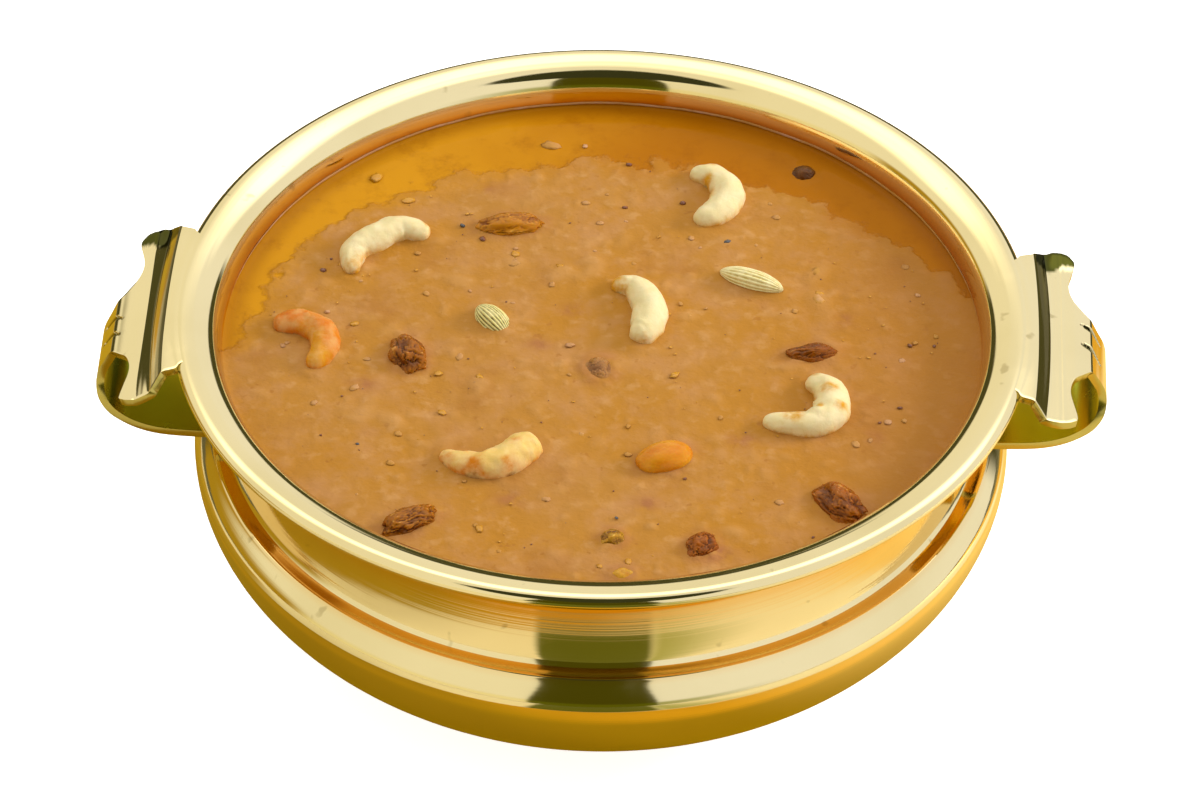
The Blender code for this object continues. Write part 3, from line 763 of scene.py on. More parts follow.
def strap_point(along, across, sag, top):
    """A point of the strap: along it from 0 at the lip to 1 at the neck, across it from -1 to 1."""
    reach, depth, half, lead, round_share = through(STRAP_ROWS, along)
    last = len(STRAP_ROWS) - 1
    place = along * last
    drops, short = sag
    y = half * across
    bend = math.sqrt(reach * reach - y * y) - reach
    led = reach + lead * across ** EDGE_LEAD_POWER
    if place < STRAP_TURN_ROW - 1:
        depth = np.interp(led, *top)
    x = led + bend * round_share + short * max(0.0, place - last + 1.0)
    drop = np.interp(led, *zip(*drops)) if place < STRAP_TURN_ROW else drops[-1][1]
    return Vector((x, y, HEIGHT - depth - drop))


def shape_back(spot, along):
    """Curl up the ear at the back and narrow the back of the roll-over."""
    narrow = min(max((abs(spot.x) - NARROWS_FROM) / NARROWS_OVER, 0.0), 1.0)
    y = spot.y * (1.0 - BACK_NARROWS * narrow * narrow * (3.0 - 2.0 * narrow))
    if along * (len(STRAP_ROWS) - 1) > STRAP_TURN_ROW:
        return Vector((spot.x, y, spot.z))
    rise = np.interp(max(y - CURL_START, 0.0), (0.0, CURL_RUN), (0.0, CURL_RISE))
    return Vector((spot.x, y, spot.z + np.interp(abs(spot.x), CURL_REACH, (0.0, 1.0)) * rise))


def ear_share(point):
    """How much painted dark reflection a point of the strap takes, from 0 on the flat to 1 on the ear at the
    back.
    """
    reach = abs(point.x)
    past = point.y - np.interp(reach, EAR_REACHES, EAR_STARTS)
    return min(max(past / EAR_SOFT, 0.0), 1.0) * (reach > EAR_REACHES[0])


def leaf_dent(point, cuts):
    """How deep the leaf-shaped cuts go at a point of the strap, from 0 to 1."""
    deepest = 0.0
    for reach, across, length, width, turn in cuts:
        away = Vector((abs(point.x) / MM - reach, point.y / MM - across))
        away.rotate(Matrix.Rotation(-math.radians(turn), 2))
        along = away.x / (length / 2.0)
        if abs(along) < 1.0:
            half = width / 2.0 * (1.0 - along * along)
            deepest = max(deepest, 1.0 - abs(away.y) / half) if abs(away.y) < half else deepest
    return deepest


class PAYASAM_OT_handles(bpy.types.Operator):
    """Bend the two strap handles out of the lip, over and back to the neck"""

    bl_idname = "payasam.handles"
    bl_label = "Strap Handles"

    def execute(self, context):
        sizes = context.scene.payasam_bowl
        top_run = strap_top()
        for name, turn in (("handle_right", 0.0), ("handle_left", math.pi)):
            shape = bmesh.new()
            bmesh.ops.create_grid(shape, x_segments=STRAP_GRID[0], y_segments=STRAP_GRID[1], size=1.0)
            patina_and_ear_reflection_layer = shape.verts.layers.float.new("hollow")
            facing = Matrix.Rotation(turn, 4, "Z")
            for vert in shape.verts:
                along = (vert.co.y + 1.0) / 2.0
                spot = facing @ strap_point(along, vert.co.x, SAGS[name], top_run)
                vert.co = shape_back(spot, along) if spot.y > 0.0 else spot
            shape.normal_update()
            top = [f for f in shape.faces if f.calc_center_median().z > HEIGHT - TOP_RUN_DEPTH]
            if sum(f.normal.z for f in top) < 0.0:
                bmesh.ops.reverse_faces(shape, faces=shape.faces)
                shape.normal_update()
            for vert in shape.verts:
                if vert.co.z > HEIGHT - EAR_DEPTH:
                    ear = ear_share(vert.co)
                    dent = leaf_dent(vert.co, LEAF_CUTS[name])
                    vert.co -= vert.normal * dent * LEAF_DEPTH
                    # The hollow attribute takes the leaf cuts' patina and the ears' painted dark reflection
                    vert[patina_and_ear_reflection_layer] = max(min(dent * LEAF_TONE, LEAF_TONE_MOST), ear)
            material = brass_finish("Brass " + name, sizes.brass, 0.0, 1.0, 0.06, LEAF_PATINA_AND_EAR_REFLECTION)
            strap = piece("brass_" + name, shape, material, name, smooth=60.0)
            wall = strap.modifiers.new("Thickness", "SOLIDIFY")
            wall.thickness = sizes.strap
            wall.offset = -1.0
            wall.material_offset = 1
            wall.material_offset_rim = 2
            # Underside: painted shade in its colour and a painted glow seen only in reflections
            inner = brass_finish("Brass inside " + name, SHADED_INNER_BRASS[name], 0.0, 1.6, 0.22)
            see = node(inner.node_tree, "ShaderNodeLightPath").outputs["Is Glossy Ray"]
            glow = blend(inner.node_tree, see, (0.0, 0.0, 0.0), INNER_GLOW)
            shader = inner.node_tree.nodes["Principled BSDF"]
            inner.node_tree.links.new(glow, shader.inputs["Emission Color"])
            shader.inputs["Emission Strength"].default_value = 1.0
            edge = brass_finish("Brass edge of " + name, SHADED_EDGE_BRASS, 0.0, 1.0, 0.18)
            strap.data.materials.append(inner)
            strap.data.materials.append(edge)
            soften = strap.modifiers.new("Soft Edges", "BEVEL")
            soften.width = EDGE_SOFTNESS
            soften.segments = 3
            soften.limit_method = "ANGLE"
            soften.angle_limit = math.radians(50)
        return {"FINISHED"}


# The payasam and the ghee

def shore(angle):
    """Distance of the ghee's shore from the axis at an angle in degrees from +X, in metres."""
    angles, radii = zip(*GHEE_SHORE)
    return np.interp((angle + 90.0) % 360.0 - 90.0, angles, radii) * MM


def outline_distance(x, y, name):
    """Distance of points from a topping's outline on the plan, in metres; negative inside it."""
    if name in CASHEWS:
        spine, widths = CASHEWS[name][:2]
        marks = [through(spine, place) for place in np.linspace(0.0, 1.0, 13)]
        halves = np.interp(np.linspace(0.0, 1.0, 13), (0.0, 0.5, 1.0), widths) / 2.0
        gaps = [np.hypot(x / MM - m[0], y / MM - m[1]) - h for m, h in zip(marks, halves)]
        return np.min(gaps, axis=0) * MM
    place, size, turn = (RAISINS.get(name) or PODS.get(name))[:3]
    angle = math.radians(turn)
    along = (x / MM - place[0]) * math.cos(angle) + (y / MM - place[1]) * math.sin(angle)
    across = -(x / MM - place[0]) * math.sin(angle) + (y / MM - place[1]) * math.cos(angle)
    reach = np.hypot(along / (size[0] / 2.0), across / (size[1] / 2.0))
    return (reach - 1.0) * size[1] / 2.0 * MM


def skin_height(x, y, radius, sizes):
    """Height of the skin, dal lumps, distance inland of the ghee, and smudges, for arrays of places."""
    spots = [Vector((a, b, 0.0)) for a, b in zip(x, y)]
    swell = np.array([noise.fractal(s * 55.0, 0.8, 2.1, 3) for s in spots])
    rough = np.array([noise.noise(s * 330.0 + Vector((0.0, 0.0, 4.0))) for s in spots])
    coast = np.array([noise.fractal(s * 95.0 + Vector((3.0, 0.0, 9.0)), 0.7, 2.2, 4) for s in spots])
    height = sizes.relief * swell + 0.00003 * rough
    lump = np.zeros_like(x)
    draw = random.Random(23)
    lumps = [(a * MM, b * MM, r * MM * 0.8, 0.00045) for a, b, r in PALE_LUMPS]
    for _ in range(sizes.lumps):
        angle, reach = draw.uniform(0.0, 2.0 * math.pi), radius * 0.96 * math.sqrt(draw.random())
        lumps.append((reach * math.cos(angle), reach * math.sin(angle), draw.uniform(0.0006, 0.0021),
                      draw.uniform(0.00006, 0.00030)))
    for cx, cy, size, rise in lumps:
        near = np.abs(x - cx) + np.abs(y - cy) < size * 3.0
        turn = draw.uniform(0.0, math.pi)
        longer = draw.uniform(1.0, 1.9)
        dx, dy = x[near] - cx, y[near] - cy
        along = (dx * math.cos(turn) + dy * math.sin(turn)) / (size * longer)
        across = (-dx * math.sin(turn) + dy * math.cos(turn)) / size
        shown = np.exp(-(along ** 2 + across ** 2) ** 1.5)
        height[near] += rise * shown
        lump[near] += shown * rise / 0.0005
    smudge = np.zeros_like(x)
    for name in (*CASHEWS, *RAISINS, *PODS):
        gap = np.maximum(outline_distance(x, y, name), 0.0)
        height += CLIMB[0] * np.exp(-gap / CLIMB[1])
        height -= DIP[0] * np.exp(-((gap - DIP[1]) / DIP[2]) ** 2)
        if name in RAISINS:
            smudge += 0.45 * np.exp(-((gap / 0.0020) ** 2))
    for cx, cy, size in SMUDGES:
        smudge += 0.9 * np.exp(-(((x / MM - cx) / size) ** 2 + ((y / MM - cy) / (size * 0.7)) ** 2))
    wall_climb = WALL_CLIMB[0] * np.exp(-(radius - np.hypot(x, y)) / WALL_CLIMB[1])
    height += wall_climb
    inland = shore(np.degrees(np.arctan2(y, x))) - np.hypot(x, y) + 0.0036 * coast
    dry = np.clip(inland / 0.0050 + 0.5, 0.0, 1.0)
    dry = dry * dry * (3.0 - 2.0 * dry)
    height = dry * (height + DRY_RISE) + (1.0 - dry) * np.maximum(height * GHEE_SHARE, wall_climb)
    marks = (lump, 0.5 + inland / SHORE_SPAN, smudge)
    return height, *(np.clip(mark, 0.0, 1.0) for mark in marks)


class PAYASAM_OT_sweet(bpy.types.Operator):
    """Pour the payasam: a body down to the bowl's floor under a lumpy skin"""

    bl_idname = "payasam.sweet"
    bl_label = "Payasam"

    def execute(self, context):
        sizes = context.scene.payasam_sweet
        radius = INNER_LEVEL[0] + 0.00008
        shape = bmesh.new()
        bmesh.ops.create_grid(shape, x_segments=SKIN_GRID, y_segments=SKIN_GRID, size=1.0)
        lump_layer = shape.verts.layers.float.new("lump")
        shore_layer = shape.verts.layers.float.new("shore")
        smudge_layer = shape.verts.layers.float.new("smudge")
        for vert in shape.verts:
            x, y = vert.co.x, vert.co.y
            reach = max(abs(x), abs(y))
            angle = math.atan2(y, x)
            if reach > 0.0:
                angle = math.pi / 4 * (y / x) if abs(x) >= abs(y) else math.pi / 2 - math.pi / 4 * (x / y)
                reach = x if abs(x) >= abs(y) else y
            vert.co = (radius * reach * math.cos(angle), radius * reach * math.sin(angle), HEIGHT - LEVEL)
        places = np.array([v.co for v in shape.verts])
        marks = skin_height(places[:, 0], places[:, 1], radius, sizes)
        for vert, rise, shown, inland, dirt in zip(shape.verts, *marks):
            vert.co.z += rise
            vert[lump_layer] = shown
            vert[shore_layer] = inland
            vert[smudge_layer] = dirt
        rim = [e for e in shape.edges if e.is_boundary]
        for depth_radius, depth in inner_side(context.scene.payasam_bowl.wall + 0.0003, 3, 1, 5)[:-1]:
            grown = bmesh.ops.extrude_edge_only(shape, edges=rim)["geom"]
            rim = [g for g in grown if isinstance(g, bmesh.types.BMEdge) and g.is_boundary]
            for vert in {v for e in rim for v in e.verts}:
                flat = Vector((vert.co.x, vert.co.y)).normalized() * depth_radius
                vert.co = (flat.x, flat.y, HEIGHT - depth)
        bmesh.ops.holes_fill(shape, edges=rim)
        bmesh.ops.recalc_face_normals(shape, faces=shape.faces)
        material = payasam_finish("Payasam skin", sizes.sweet, sizes.ghee)
        piece("payasam_sweet", shape, material, "payasam", smooth=60.0)
        return {"FINISHED"}


class PAYASAM_OT_film(bpy.types.Operator):
    """Leave the thin dried line where the sweet once stood on the back wall"""

    bl_idname = "payasam.film"
    bl_label = "Film Line"

    def execute(self, context):
        sizes = context.scene.payasam_sweet
        start, sweep, taper = (math.radians(angle) for angle in FILM_SPAN)
        film = bmesh.new()
        bmesh.ops.create_circle(film, cap_ends=True, segments=8, radius=1.0)
        middle = Vector((INNER_LEVEL[0] - 0.0001, 0.0, HEIGHT - LEVEL + FILM_HEIGHT))
        for vert in film.verts:
            vert.co = middle + Vector((vert.co.x * FILM_HALVES[0], 0.0, vert.co.y * FILM_HALVES[1]))
        bmesh.ops.rotate(film, verts=film.verts, cent=(0, 0, 0), matrix=Matrix.Rotation(start, 3, "Z"))
        bmesh.ops.spin(film, geom=[*film.verts, *film.edges, *film.faces], cent=(0, 0, 0), axis=(0, 0, 1),
                       angle=sweep, steps=300)
        for vert in film.verts:
            angle = math.atan2(vert.co.y, vert.co.x)
            heart = Vector((middle.x * math.cos(angle), middle.x * math.sin(angle), middle.z))
            share = min(angle - start, start + sweep - angle) / taper
            vert.co = heart + (vert.co - heart) * min(max(share, 0.03), 1.0)
            vert.co.z += 0.0003 * noise.noise(vert.co * 70.0) + 0.0001 * noise.noise(vert.co * 400.0)
        facing_out(film)
        dried = payasam_finish("Dried film", shaded(sizes.sweet, 1.0, 1.12, 2.2))
        piece("film_line", film, dried, None)
        return {"FINISHED"}


def scatter_blobs(name, spots, material, flatness, sink, levels=2, wobble=0.25):
    """One piece of soft blobs lying in the skin; spots are (x, y, radius) in millimetres."""
    draw = random.Random(name)
    shape = bmesh.new()
    for x, y, radius in spots:
        made = bmesh.ops.create_icosphere(shape, subdivisions=levels, radius=1.0)["verts"]
        seed = Vector((x, y, radius))
        longer = draw.uniform(1.0, 1.5)
        turn = Matrix.Rotation(draw.uniform(0.0, math.pi), 3, "Z")
        for vert in made:
            wave = 1.0 + wobble * noise.noise(vert.co * 1.6 + seed)
            lying = turn @ Vector((vert.co.x * longer, vert.co.y, vert.co.z * flatness))
            vert.co = lying * wave * radius * MM + level_point((x, y), sink)
    facing_out(shape)
    return piece(name, shape, material, None)


class PAYASAM_OT_scraps(bpy.types.Operator):
    """Scatter dal lumps, oil eyes and spice specks over the skin"""

    bl_idname = "payasam.scraps"
    bl_label = "Lumps, Oil and Specks"

    def execute(self, context):
        sizes = context.scene.payasam_sweet
        draw = random.Random(5)

        def anywhere(count, low, high, reach=88.0):
            """Seeded places on the payasam, clear of the ghee."""
            spots = []
            while len(spots) < count:
                x, y = draw.uniform(-reach, reach), draw.uniform(-reach, reach)
                far = math.hypot(x, y)
                if far < reach and far * MM < shore(math.degrees(math.atan2(y, x))) - 0.003:
                    spots.append((x, y, draw.uniform(low, high)))
            return spots

        pale = payasam_finish("Cooked dal", shaded(sizes.sweet, 1.08, 1.20, 2.0))
        lumps = [(x, y, r * 0.5) for x, y, r in PALE_LUMPS] + anywhere(60, 0.4, 1.0)
        scatter_blobs("dal_lumps", lumps, pale, 0.22, 0.22, wobble=0.5)
        amber, tree, shader = finish("Amber oil", Roughness=0.08, Specular_IOR_Level=0.4)
        shine = blend(tree, grain(tree, 300.0, 2.0), (0.48, 0.19, 0.008), (0.68, 0.34, 0.030))
        tree.links.new(shine, shader.inputs["Base Color"])
        eyes = [(x, y, r * 0.62) for x, y, r in OIL_EYES] + anywhere(60, 0.16, 0.42)
        scatter_blobs("oil_eyes", eyes, amber, 0.14, 0.36, wobble=0.6)
        for label, colour in (("blue", (0.045, 0.045, 0.050)), ("brown", (0.13, 0.042, 0.018))):
            material, tree, shader = finish("Speck " + label, Roughness=0.4, Coat_Weight=0.5,
                                            Coat_Roughness=0.2)
            tone = blend(tree, grain(tree, 900.0, 2.0), colour, shaded(colour, 2.2, 2.2, 2.2))
            tree.links.new(tone, shader.inputs["Base Color"])
            extra = anywhere(60, 0.10, 0.28) if label == "brown" else anywhere(6, 0.10, 0.2)
            spots = [(x, y, r * 0.5) for x, y, r in SPECKS[label]] + extra
            scatter_blobs("specks_" + label, spots, material, 0.45, 0.30, levels=1, wobble=0.7)
        return {"FINISHED"}


# Toppings

def heading(spine, place):
    """The direction of a cashew's spine at a place from 0 to 1."""
    step = 0.01
    ahead = Vector(through(spine, min(place + step, 1.0))) - Vector(through(spine, max(place - step, 0.0)))
    return ahead.normalized()


def band(value, middle, width):
    """A smooth bump of 1 where the value passes its middle."""
    return math.exp(-(((value - middle) / width) ** 2))


def cashew_shape(spine, widths, lift, patches, sizes):
    """A curled cashew with its split line, and how toasted each point is."""
    shape = bmesh.new()
    bmesh.ops.create_uvsphere(shape, u_segments=sizes.nut_segments, v_segments=64, radius=1.0)
    toast = shape.verts.layers.float.new("toast")
    seed = Vector((*spine[0], 0.0))
    curl = Vector(spine[0]).lerp(Vector(spine[-1]), 0.5) - Vector(spine[2])
    for vert in shape.verts:
        end = vert.co.z
        side = Vector((vert.co.x, vert.co.y))
        full = (1.0 - abs(end) ** CASHEW_END_POWER) ** CASHEW_END_ROUND
        side = side.normalized() * full if side.length > 1e-6 else Vector((0.0, 0.0))
        place = (end + 1.0) / 2.0
        half = np.interp(end, (-1.0, 0.0, 1.0), widths) / 2.0 * CASHEW_PLUMP
        point = Vector(through(spine, place))
        ahead = heading(spine, place)
        across = Vector((ahead.y, -ahead.x))
        inner = 1.0 if across.dot(curl) > 0.0 else -1.0
        angle = math.atan2(side.y, side.x * inner)
        groove = sizes.groove * band(angle, 0.0, GROOVE_WIDTH) * full
        bumps = 1.0 + 0.10 * noise.noise(Vector((end * 3.0, side.x, side.y)) * 1.4 + seed) - groove
        ridge = 1.0 + 0.05 * noise.noise(Vector((end * 9.0, angle * 2.0, 0.0)) + seed)
        flat = point + across * side.x * half * bumps * ridge + ahead * end ** 9 * 0.5
        rise = side.y * half * CASHEW_FLATNESS * bumps * ridge
        vert.co = level_point(flat, lift + CASHEW_RISE + rise)
        shown = 0.0
        for at, over, size, strength in patches:
            mark = Vector(through(spine, at))
            lean = heading(spine, at)
            mark += Vector((lean.y, -lean.x)) * over * half
            shown += strength * math.exp(-(((flat - mark).length / size) ** 2) * 1.4)
        above = max(lift + CASHEW_RISE + rise, 0.0)
        vert[toast] = shown + 0.95 * math.exp(-above / 1.5)
    facing_out(shape)
    return shape


class PAYASAM_OT_cashews(bpy.types.Operator):
    """Lay the fried cashews in the payasam"""

    bl_idname = "payasam.cashews"
    bl_label = "Cashews"

    def execute(self, context):
        sizes = context.scene.payasam_topping
        for name, (spine, widths, lift, patches) in CASHEWS.items():
            pale, toast = NUT_COLOURS.get(name, PALE_NUT)
            material = toasted_finish("Fried " + name, pale, toast, 0.08)
            shape = cashew_shape(spine, widths, lift, patches, sizes)
            piece("fried_" + name, shape, material, name)
        return {"FINISHED"}


def lay(shape, place, lift, turn, dip=0.0):
    """Lay a shape made along X at a place over the level, turned and with one end dipped."""
    lean = Matrix.Rotation(math.radians(turn), 4, "Z") @ Matrix.Rotation(math.radians(dip), 4, "Y")
    bmesh.ops.transform(shape, matrix=Matrix.Translation(level_point(place, lift)) @ lean, verts=shape.verts)


class PAYASAM_OT_raisins(bpy.types.Operator):
    """Swell and wrinkle the raisins"""

    bl_idname = "payasam.raisins"
    bl_label = "Raisins"

    def execute(self, context):
        sizes = context.scene.payasam_topping
        noise.seed_set(RAISIN_SEED)
        for name, (place, size, turn, lift, wrinkle, ridge, fold_shade) in RAISINS.items():
            shape = bmesh.new()
            bmesh.ops.create_icosphere(shape, subdivisions=sizes.raisin_levels, radius=1.0)
            layer = shape.verts.layers.float.new("ridge")
            seed = Vector((place[0], place[1], 0.0))
            for vert in shape.verts:
                out = vert.co.normalized()
                warp = out + 0.45 * noise.noise_vector(out * 1.2 + seed)
                wave = noise.noise(Vector((warp.x * 1.2, warp.y * 2.3, warp.z * 2.3)) + seed)
                small = noise.noise(warp * 3.6 - seed)
                broad = noise.noise(out * 1.5 + seed)
                crease = band(wave, 0.0, 0.055) + 0.5 * band(small, 0.0, 0.05)
                shine = band(wave, 0.12, 0.045) + 0.6 * band(small, 0.12, 0.05)
                body = 1.0 + wrinkle * (0.30 * broad + 0.045 * shine - 0.13 * crease)
                # The ridge attribute: random body tone, a painted highlight along the shine lines and painted
                # shade in the creases
                vert[layer] = 0.42 + 0.35 * broad + wrinkle * (0.5 * shine - 0.42 * crease)
                vert.co = Vector((out.x * size[0], out.y * size[1], out.z * size[2])) * (MM / 2.0) * body
            lay(shape, place, lift, turn)
            facing_out(shape)
            piece("wet_" + name, shape, raisin_finish("Skin " + name, ridge, fold_shade), name)
        return {"FINISHED"}


class PAYASAM_OT_pods(bpy.types.Operator):
    """Rib the cardamom pods"""

    bl_idname = "payasam.pods"
    bl_label = "Cardamom Pods"

    def execute(self, context):
        for name, (place, size, turn, dip, lift, ribs, husk, tip_and_groove_shade) in PODS.items():
            shape = bmesh.new()
            bmesh.ops.create_uvsphere(shape, u_segments=ribs * 8, v_segments=48, radius=1.0)
            layer = shape.verts.layers.float.new("toast")
            length, half = size[0] * MM / 2.0, size[1] * MM / 2.0
            for vert in shape.verts:
                end = vert.co.z
                around = math.atan2(vert.co.y, vert.co.x)
                slim = max(1.0 - abs(end) ** 2.2, 0.0) ** 0.62
                lobe = 1.0 + 0.05 * math.cos(around * 3.0)
                line = math.cos(around * ribs + 1.2 * end)
                reach = half * slim * lobe * (1.0 + 0.035 * line + 0.03 * noise.noise(vert.co * 3.0))
                vert.co = Vector((end * length, reach * math.cos(around), reach * math.sin(around) * 0.86))
                # The toast attribute browns the tips and paints shade into the grooves between the ribs
                vert[layer] = 0.35 - 0.75 * line + max(0.0, abs(end) - 0.86) * 5.0
            lay(shape, place, lift, turn, dip)
            facing_out(shape)
            material = toasted_finish("Husk " + name, husk, tip_and_groove_shade, 0.0, 1.5, 0.04)
            piece("husk_" + name, shape, material, name)
        return {"FINISHED"}


# Studio

# Colours that the brass reflects, and how far the camera's dark slot opens (tangent of its half angle)
TENT_LEFT = (0.98, 0.94, 0.80)
TENT_RIGHT = (1.0, 1.0, 1.02)
TENT_LOW = (0.97, 0.88, 0.56)
SLOT = (0.120, 0.128, 0.004)
OVERHEAD = (0.045, 0.048, 0.020)
BEHIND = (0.075, 0.072, 0.025)
SIDE_LEFT = (0.46, 0.29, 0.02)
SLOT_LEFT = 0.275
SLOT_RIGHT = 0.30
FLOOR_SLOT_LEFT = 0.207
FLOOR_SLOT_RIGHT = 0.242
# Warm browns the brass sees on the table near the bowl: painted shade and bounce light of the bowl
FLOOR_NEAR = (0.50, 0.32, 0.0)
FLOOR_WARM = (0.62, 0.33, 0.008)
FLOOR_FAR = (0.93, 0.85, 0.62)
FLOOR_CENTRE = (-0.10, 0.12, 0.0)
OVERHEAD_WAY = (0.0, -0.342, 0.940)
OVERHEAD_COSINE = 0.940
SLOT_HIGH = (0.075, 0.070, 0.003)
SLOT_SIDE = (0.30, 0.32, 0.02)
SLOT_SOFT = 0.008
FLOOR_UNDER = (0.32, 0.20, 0.001)
FLOOR_FOOT = (0.40, 0.24, 0.001)
FLOOR_RIGHT = (0.95, 0.68, 0.24)


def slot_masks(tree, parts, left, right, soft):
    """Where the camera's dark slot opens in front, and how strongly it fades out to its right."""
    over_left = solve(tree, "MULTIPLY_ADD", parts["Y"], -left, parts["X"])
    past_right = solve(tree, "MULTIPLY_ADD", parts["Y"], right, parts["X"])
    open_slot = solve(tree, "MINIMUM", over_left, times(tree, past_right, -1.0))
    beside = spread(tree, past_right, -0.01, 0.01)
    return open_slot, times(tree, spread(tree, past_right, soft, 0.0), beside)


def world_light():
    """A white light tent with a dark slot where the camera looks in, dark overhead and low behind."""
    world = bpy.data.worlds.new("Light tent")
    bpy.context.scene.world = world
    world.use_nodes = True
    tree = world.node_tree
    tree.nodes.clear()
    way = node(tree, "ShaderNodeTexCoord").outputs["Generated"]
    parts = node(tree, "ShaderNodeSeparateXYZ", {0: way}).outputs
    height = parts["Z"]
    tent = blend(tree, spread(tree, parts["X"], -0.35, 0.35), TENT_LEFT, TENT_RIGHT)
    low = spread(tree, height, 0.30, 0.10)
    tent = blend(tree, times(tree, low, spread(tree, parts["X"], 0.3, -0.2)), tent, TENT_LOW)
    side = times(tree, spread(tree, parts["X"], -0.25, -0.45), spread(tree, parts["Y"], -0.30, -0.10))
    tent = blend(tree, times(tree, side, spread(tree, height, 0.36, 0.12)), tent, SIDE_LEFT)
    back = times(tree, spread(tree, parts["Y"], 0.20, 0.50), spread(tree, height, 0.63, 0.76))
    strength = solve(tree, "MULTIPLY_ADD", back, 1.2, 1.0)
    aside = spread(tree, solve(tree, "ABSOLUTE", parts["X"]), 0.25, 0.50, 0.26, 0.32)
    under = spread(tree, solve(tree, "SUBTRACT", height, aside), 0.03, -0.03)
    far_back = spread(tree, parts["Y"], 0.58, 0.70)
    tent = blend(tree, times(tree, far_back, under), tent, BEHIND)
    open_slot, faded = slot_masks(tree, parts, SLOT_LEFT, SLOT_RIGHT, 0.60)
    front = times(tree, spread(tree, parts["Y"], 0.05, -0.25), times(tree, faded, low))
    tent = blend(tree, times(tree, front, 0.8), tent, SLOT_SIDE)
    slot = blend(tree, spread(tree, height, 0.10, 0.25), SLOT, SLOT_HIGH)
    tent = blend(tree, spread(tree, open_slot, -SLOT_SOFT, SLOT_SOFT), tent, slot)
    cap = measure(tree, "DOT_PRODUCT", way, OVERHEAD_WAY)
    over = spread(tree, cap, OVERHEAD_COSINE - SLOT_SOFT, OVERHEAD_COSINE + SLOT_SOFT)
    tent = blend(tree, over, tent, OVERHEAD)
    extra = solve(tree, "SUBTRACT", strength, 1.0)
    strength = solve(tree, "MULTIPLY_ADD", extra, solve(tree, "SUBTRACT", 1.0, over), 1.0)
    studio = node(tree, "ShaderNodeBackground", {"Color": tent, "Strength": strength})
    plain = node(tree, "ShaderNodeBackground", {"Color": (1.0, 1.0, 1.0, 1.0), "Strength": 1.0})
    seen = node(tree, "ShaderNodeLightPath").outputs["Is Camera Ray"]
    shown = node(tree, "ShaderNodeMixShader", {0: seen, 1: studio.outputs[0], 2: plain.outputs[0]})
    out = tree.nodes.new("ShaderNodeOutputWorld")
    tree.links.new(shown.outputs[0], out.inputs["Surface"])


def table_finish():
    """A plain pale table, evenly bright to the camera; polished metal sees it painted warm brown close to the
    bowl, as the bowl's shade and brass-coloured bounce light, with a painted glow near the foot, and dark
    under the camera.
    """
    material, tree, shader = finish("Pale table", Roughness=0.65, Specular_IOR_Level=0.2)
    place = object_place(tree)
    parts = node(tree, "ShaderNodeSeparateXYZ", {0: place}).outputs
    far = measure(tree, "DISTANCE", place, FLOOR_CENTRE)
    flat = measure(tree, "LENGTH", place)
    foot = spread(tree, flat, 0.180, 0.130)
    tone = blend(tree, spread(tree, flat, 0.122, 0.140), FLOOR_UNDER, FLOOR_FOOT)
    for way, low, high, colour in (
        (flat, 0.155, 0.172, FLOOR_NEAR),
        (far, 0.255, 0.300, FLOOR_WARM),
        (flat, 0.135, 0.122, FLOOR_UNDER),
        (parts["X"], 0.05, 0.19, FLOOR_RIGHT),
    ):
        tone = blend(tree, spread(tree, way, low, high), tone, colour)
    beyond = spread(tree, flat, 0.172, 0.181)
    tone = blend(tree, times(tree, beyond, spread(tree, parts["Y"], -0.03, -0.09)), tone, FLOOR_FAR)
    tone = blend(tree, spread(tree, far, 0.308, 0.334), tone, FLOOR_FAR)
    corner = times(tree, spread(tree, parts["X"], 0.14, 0.19), spread(tree, parts["Y"], 0.11, 0.16))
    tone = blend(tree, corner, tone, FLOOR_WARM)
    open_slot, faded = slot_masks(tree, parts, FLOOR_SLOT_LEFT, FLOOR_SLOT_RIGHT, 0.09)
    front = times(tree, spread(tree, parts["Y"], 0.0, -0.10), times(tree, faded, beyond))
    tone = blend(tree, times(tree, front, 0.8), tone, SLOT_SIDE)
    tone = blend(tree, times(tree, spread(tree, open_slot, -0.004, 0.004), beyond), tone, SLOT)
    tone = blend(tree, spread(tree, parts["Y"], 0.24, 0.38), tone, BEHIND)
    light = node(tree, "ShaderNodeLightPath").outputs
    tree.links.new(blend(tree, light["Is Glossy Ray"], (0.93, 0.93, 0.93), tone), shader.inputs["Base Color"])
    # Painted light: near the foot the table glows warm, for reflected rays only
    lit = blend(tree, times(tree, light["Is Glossy Ray"], foot), (0.0, 0.0, 0.0), tone)
    lit = toned(tree, lit, 0.45)
    glow = blend(tree, light["Is Camera Ray"], lit, (0.80, 0.80, 0.80))
    tree.links.new(glow, shader.inputs["Emission Color"])
    shader.inputs["Emission Strength"].default_value = 1.0
    return material


CAMERA_AZIMUTH = 2.0
CAMERA_ELEVATION = 40.1
CAMERA_DISTANCE = 1.65
CAMERA_ROLL = 0.6
CAMERA_LENS = 193.5
SENSOR_WIDTH = 36.0
AIM_DOWN = 0.0230
AIM_ASIDE = 0.00033
TABLE_HALF = 6.0
KEY_PLACE = (1.05, 0.36, 0.46)
KEY_SIZE = (0.4, 0.3)
KEY_ENERGY = 10.0
KEY_COLOUR = (1.0, 0.97, 0.92)


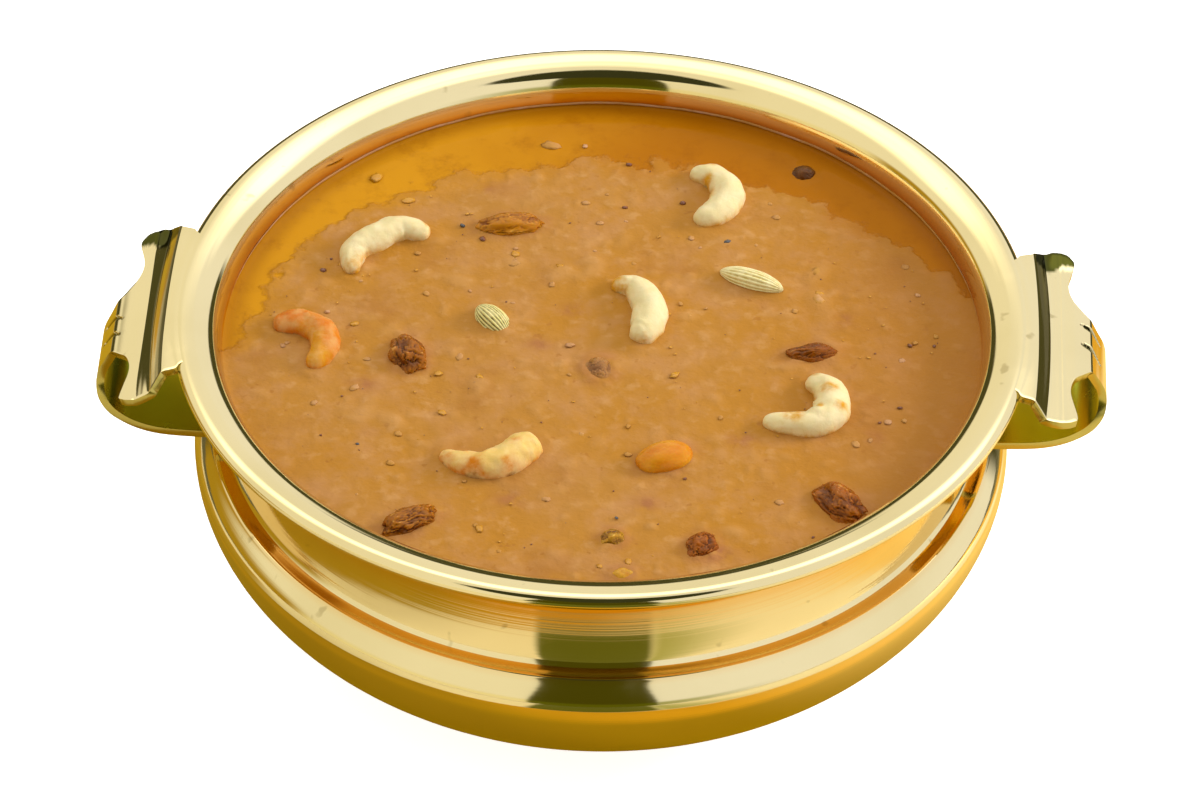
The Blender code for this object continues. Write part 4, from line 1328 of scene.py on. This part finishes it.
class PAYASAM_OT_studio(bpy.types.Operator):
    """Set the pale table, the light tent, the key light and the camera"""

    bl_idname = "payasam.studio"
    bl_label = "Studio"

    def execute(self, context):
        shape = bmesh.new()
        bmesh.ops.create_grid(shape, x_segments=2, y_segments=2, size=TABLE_HALF)
        mesh = bpy.data.meshes.new("table")
        shape.to_mesh(mesh)
        shape.free()
        mesh.materials.append(table_finish())
        table = bpy.data.objects.new("table", mesh)
        context.scene.collection.objects.link(table)
        world_light()
        key = bpy.data.objects.new("key", bpy.data.lights.new("key", "AREA"))
        key.data.energy = KEY_ENERGY
        key.data.shape = "RECTANGLE"
        key.data.size, key.data.size_y = KEY_SIZE
        key.data.color = KEY_COLOUR
        key.location = KEY_PLACE
        key.rotation_euler = (-key.location).to_track_quat("-Z", "Y").to_euler()
        key.visible_glossy = False
        context.scene.collection.objects.link(key)
        context.scene.view_settings.view_transform = "Standard"
        azimuth, elevation = math.radians(CAMERA_AZIMUTH), math.radians(CAMERA_ELEVATION)
        flat = math.cos(elevation)
        back = Vector((math.sin(azimuth) * flat, -math.cos(azimuth) * flat, math.sin(elevation)))
        looking = (-back).to_track_quat("-Z", "Y").to_matrix()
        right, up = looking.col[0], looking.col[1]
        rim = Vector((0.0, 0.0, HEIGHT))
        camera = bpy.data.objects.new("camera", bpy.data.cameras.new("camera"))
        camera.data.lens = CAMERA_LENS
        camera.data.sensor_width = SENSOR_WIDTH
        camera.location = rim + back * CAMERA_DISTANCE
        aim = rim - up * AIM_DOWN - right * AIM_ASIDE
        turn = (aim - camera.location).to_track_quat("-Z", "Y").to_matrix()
        roll = Matrix.Rotation(math.radians(CAMERA_ROLL), 3, "Z")
        camera.rotation_euler = (turn @ roll).to_euler()
        context.scene.collection.objects.link(camera)
        context.scene.camera = camera
        return {"FINISHED"}


OPERATORS = (PAYASAM_OT_bowl, PAYASAM_OT_handles, PAYASAM_OT_sweet, PAYASAM_OT_film, PAYASAM_OT_scraps,
             PAYASAM_OT_cashews, PAYASAM_OT_raisins, PAYASAM_OT_pods, PAYASAM_OT_studio)


class PAYASAM_PT_panel(bpy.types.Panel):
    """Sizes and steps of the bowl of payasam"""

    bl_label = "Parippu Payasam"
    bl_idname = "PAYASAM_PT_panel"
    bl_space_type = "VIEW_3D"
    bl_region_type = "UI"
    bl_category = "Payasam"

    def draw(self, context):
        for group in SETTINGS:
            settings = getattr(context.scene, group)
            box = self.layout.box()
            for label in settings.__annotations__:
                box.prop(settings, label)
        for operator in OPERATORS:
            self.layout.operator(operator.bl_idname)


SETTINGS = {"payasam_bowl": PayasamBowlSizes, "payasam_sweet": PayasamSweetSizes,
            "payasam_topping": PayasamToppingSizes}
CLASSES = (*SETTINGS.values(), *OPERATORS, PAYASAM_PT_panel)


def register():
    for cls in CLASSES:
        bpy.utils.register_class(cls)
    for label, group in SETTINGS.items():
        setattr(bpy.types.Scene, label, PointerProperty(type=group))


def unregister():
    for label in SETTINGS:
        delattr(bpy.types.Scene, label)
    for cls in reversed(CLASSES):
        bpy.utils.unregister_class(cls)


def main():
    """Build every piece and the studio."""
    register()
    bpy.ops.payasam.bowl()
    bpy.ops.payasam.handles()
    bpy.ops.payasam.sweet()
    bpy.ops.payasam.film()
    bpy.ops.payasam.scraps()
    bpy.ops.payasam.cashews()
    bpy.ops.payasam.raisins()
    bpy.ops.payasam.pods()
    bpy.ops.payasam.studio()
    bpy.context.view_layer.update()


if __name__ == "__main__":
    main()
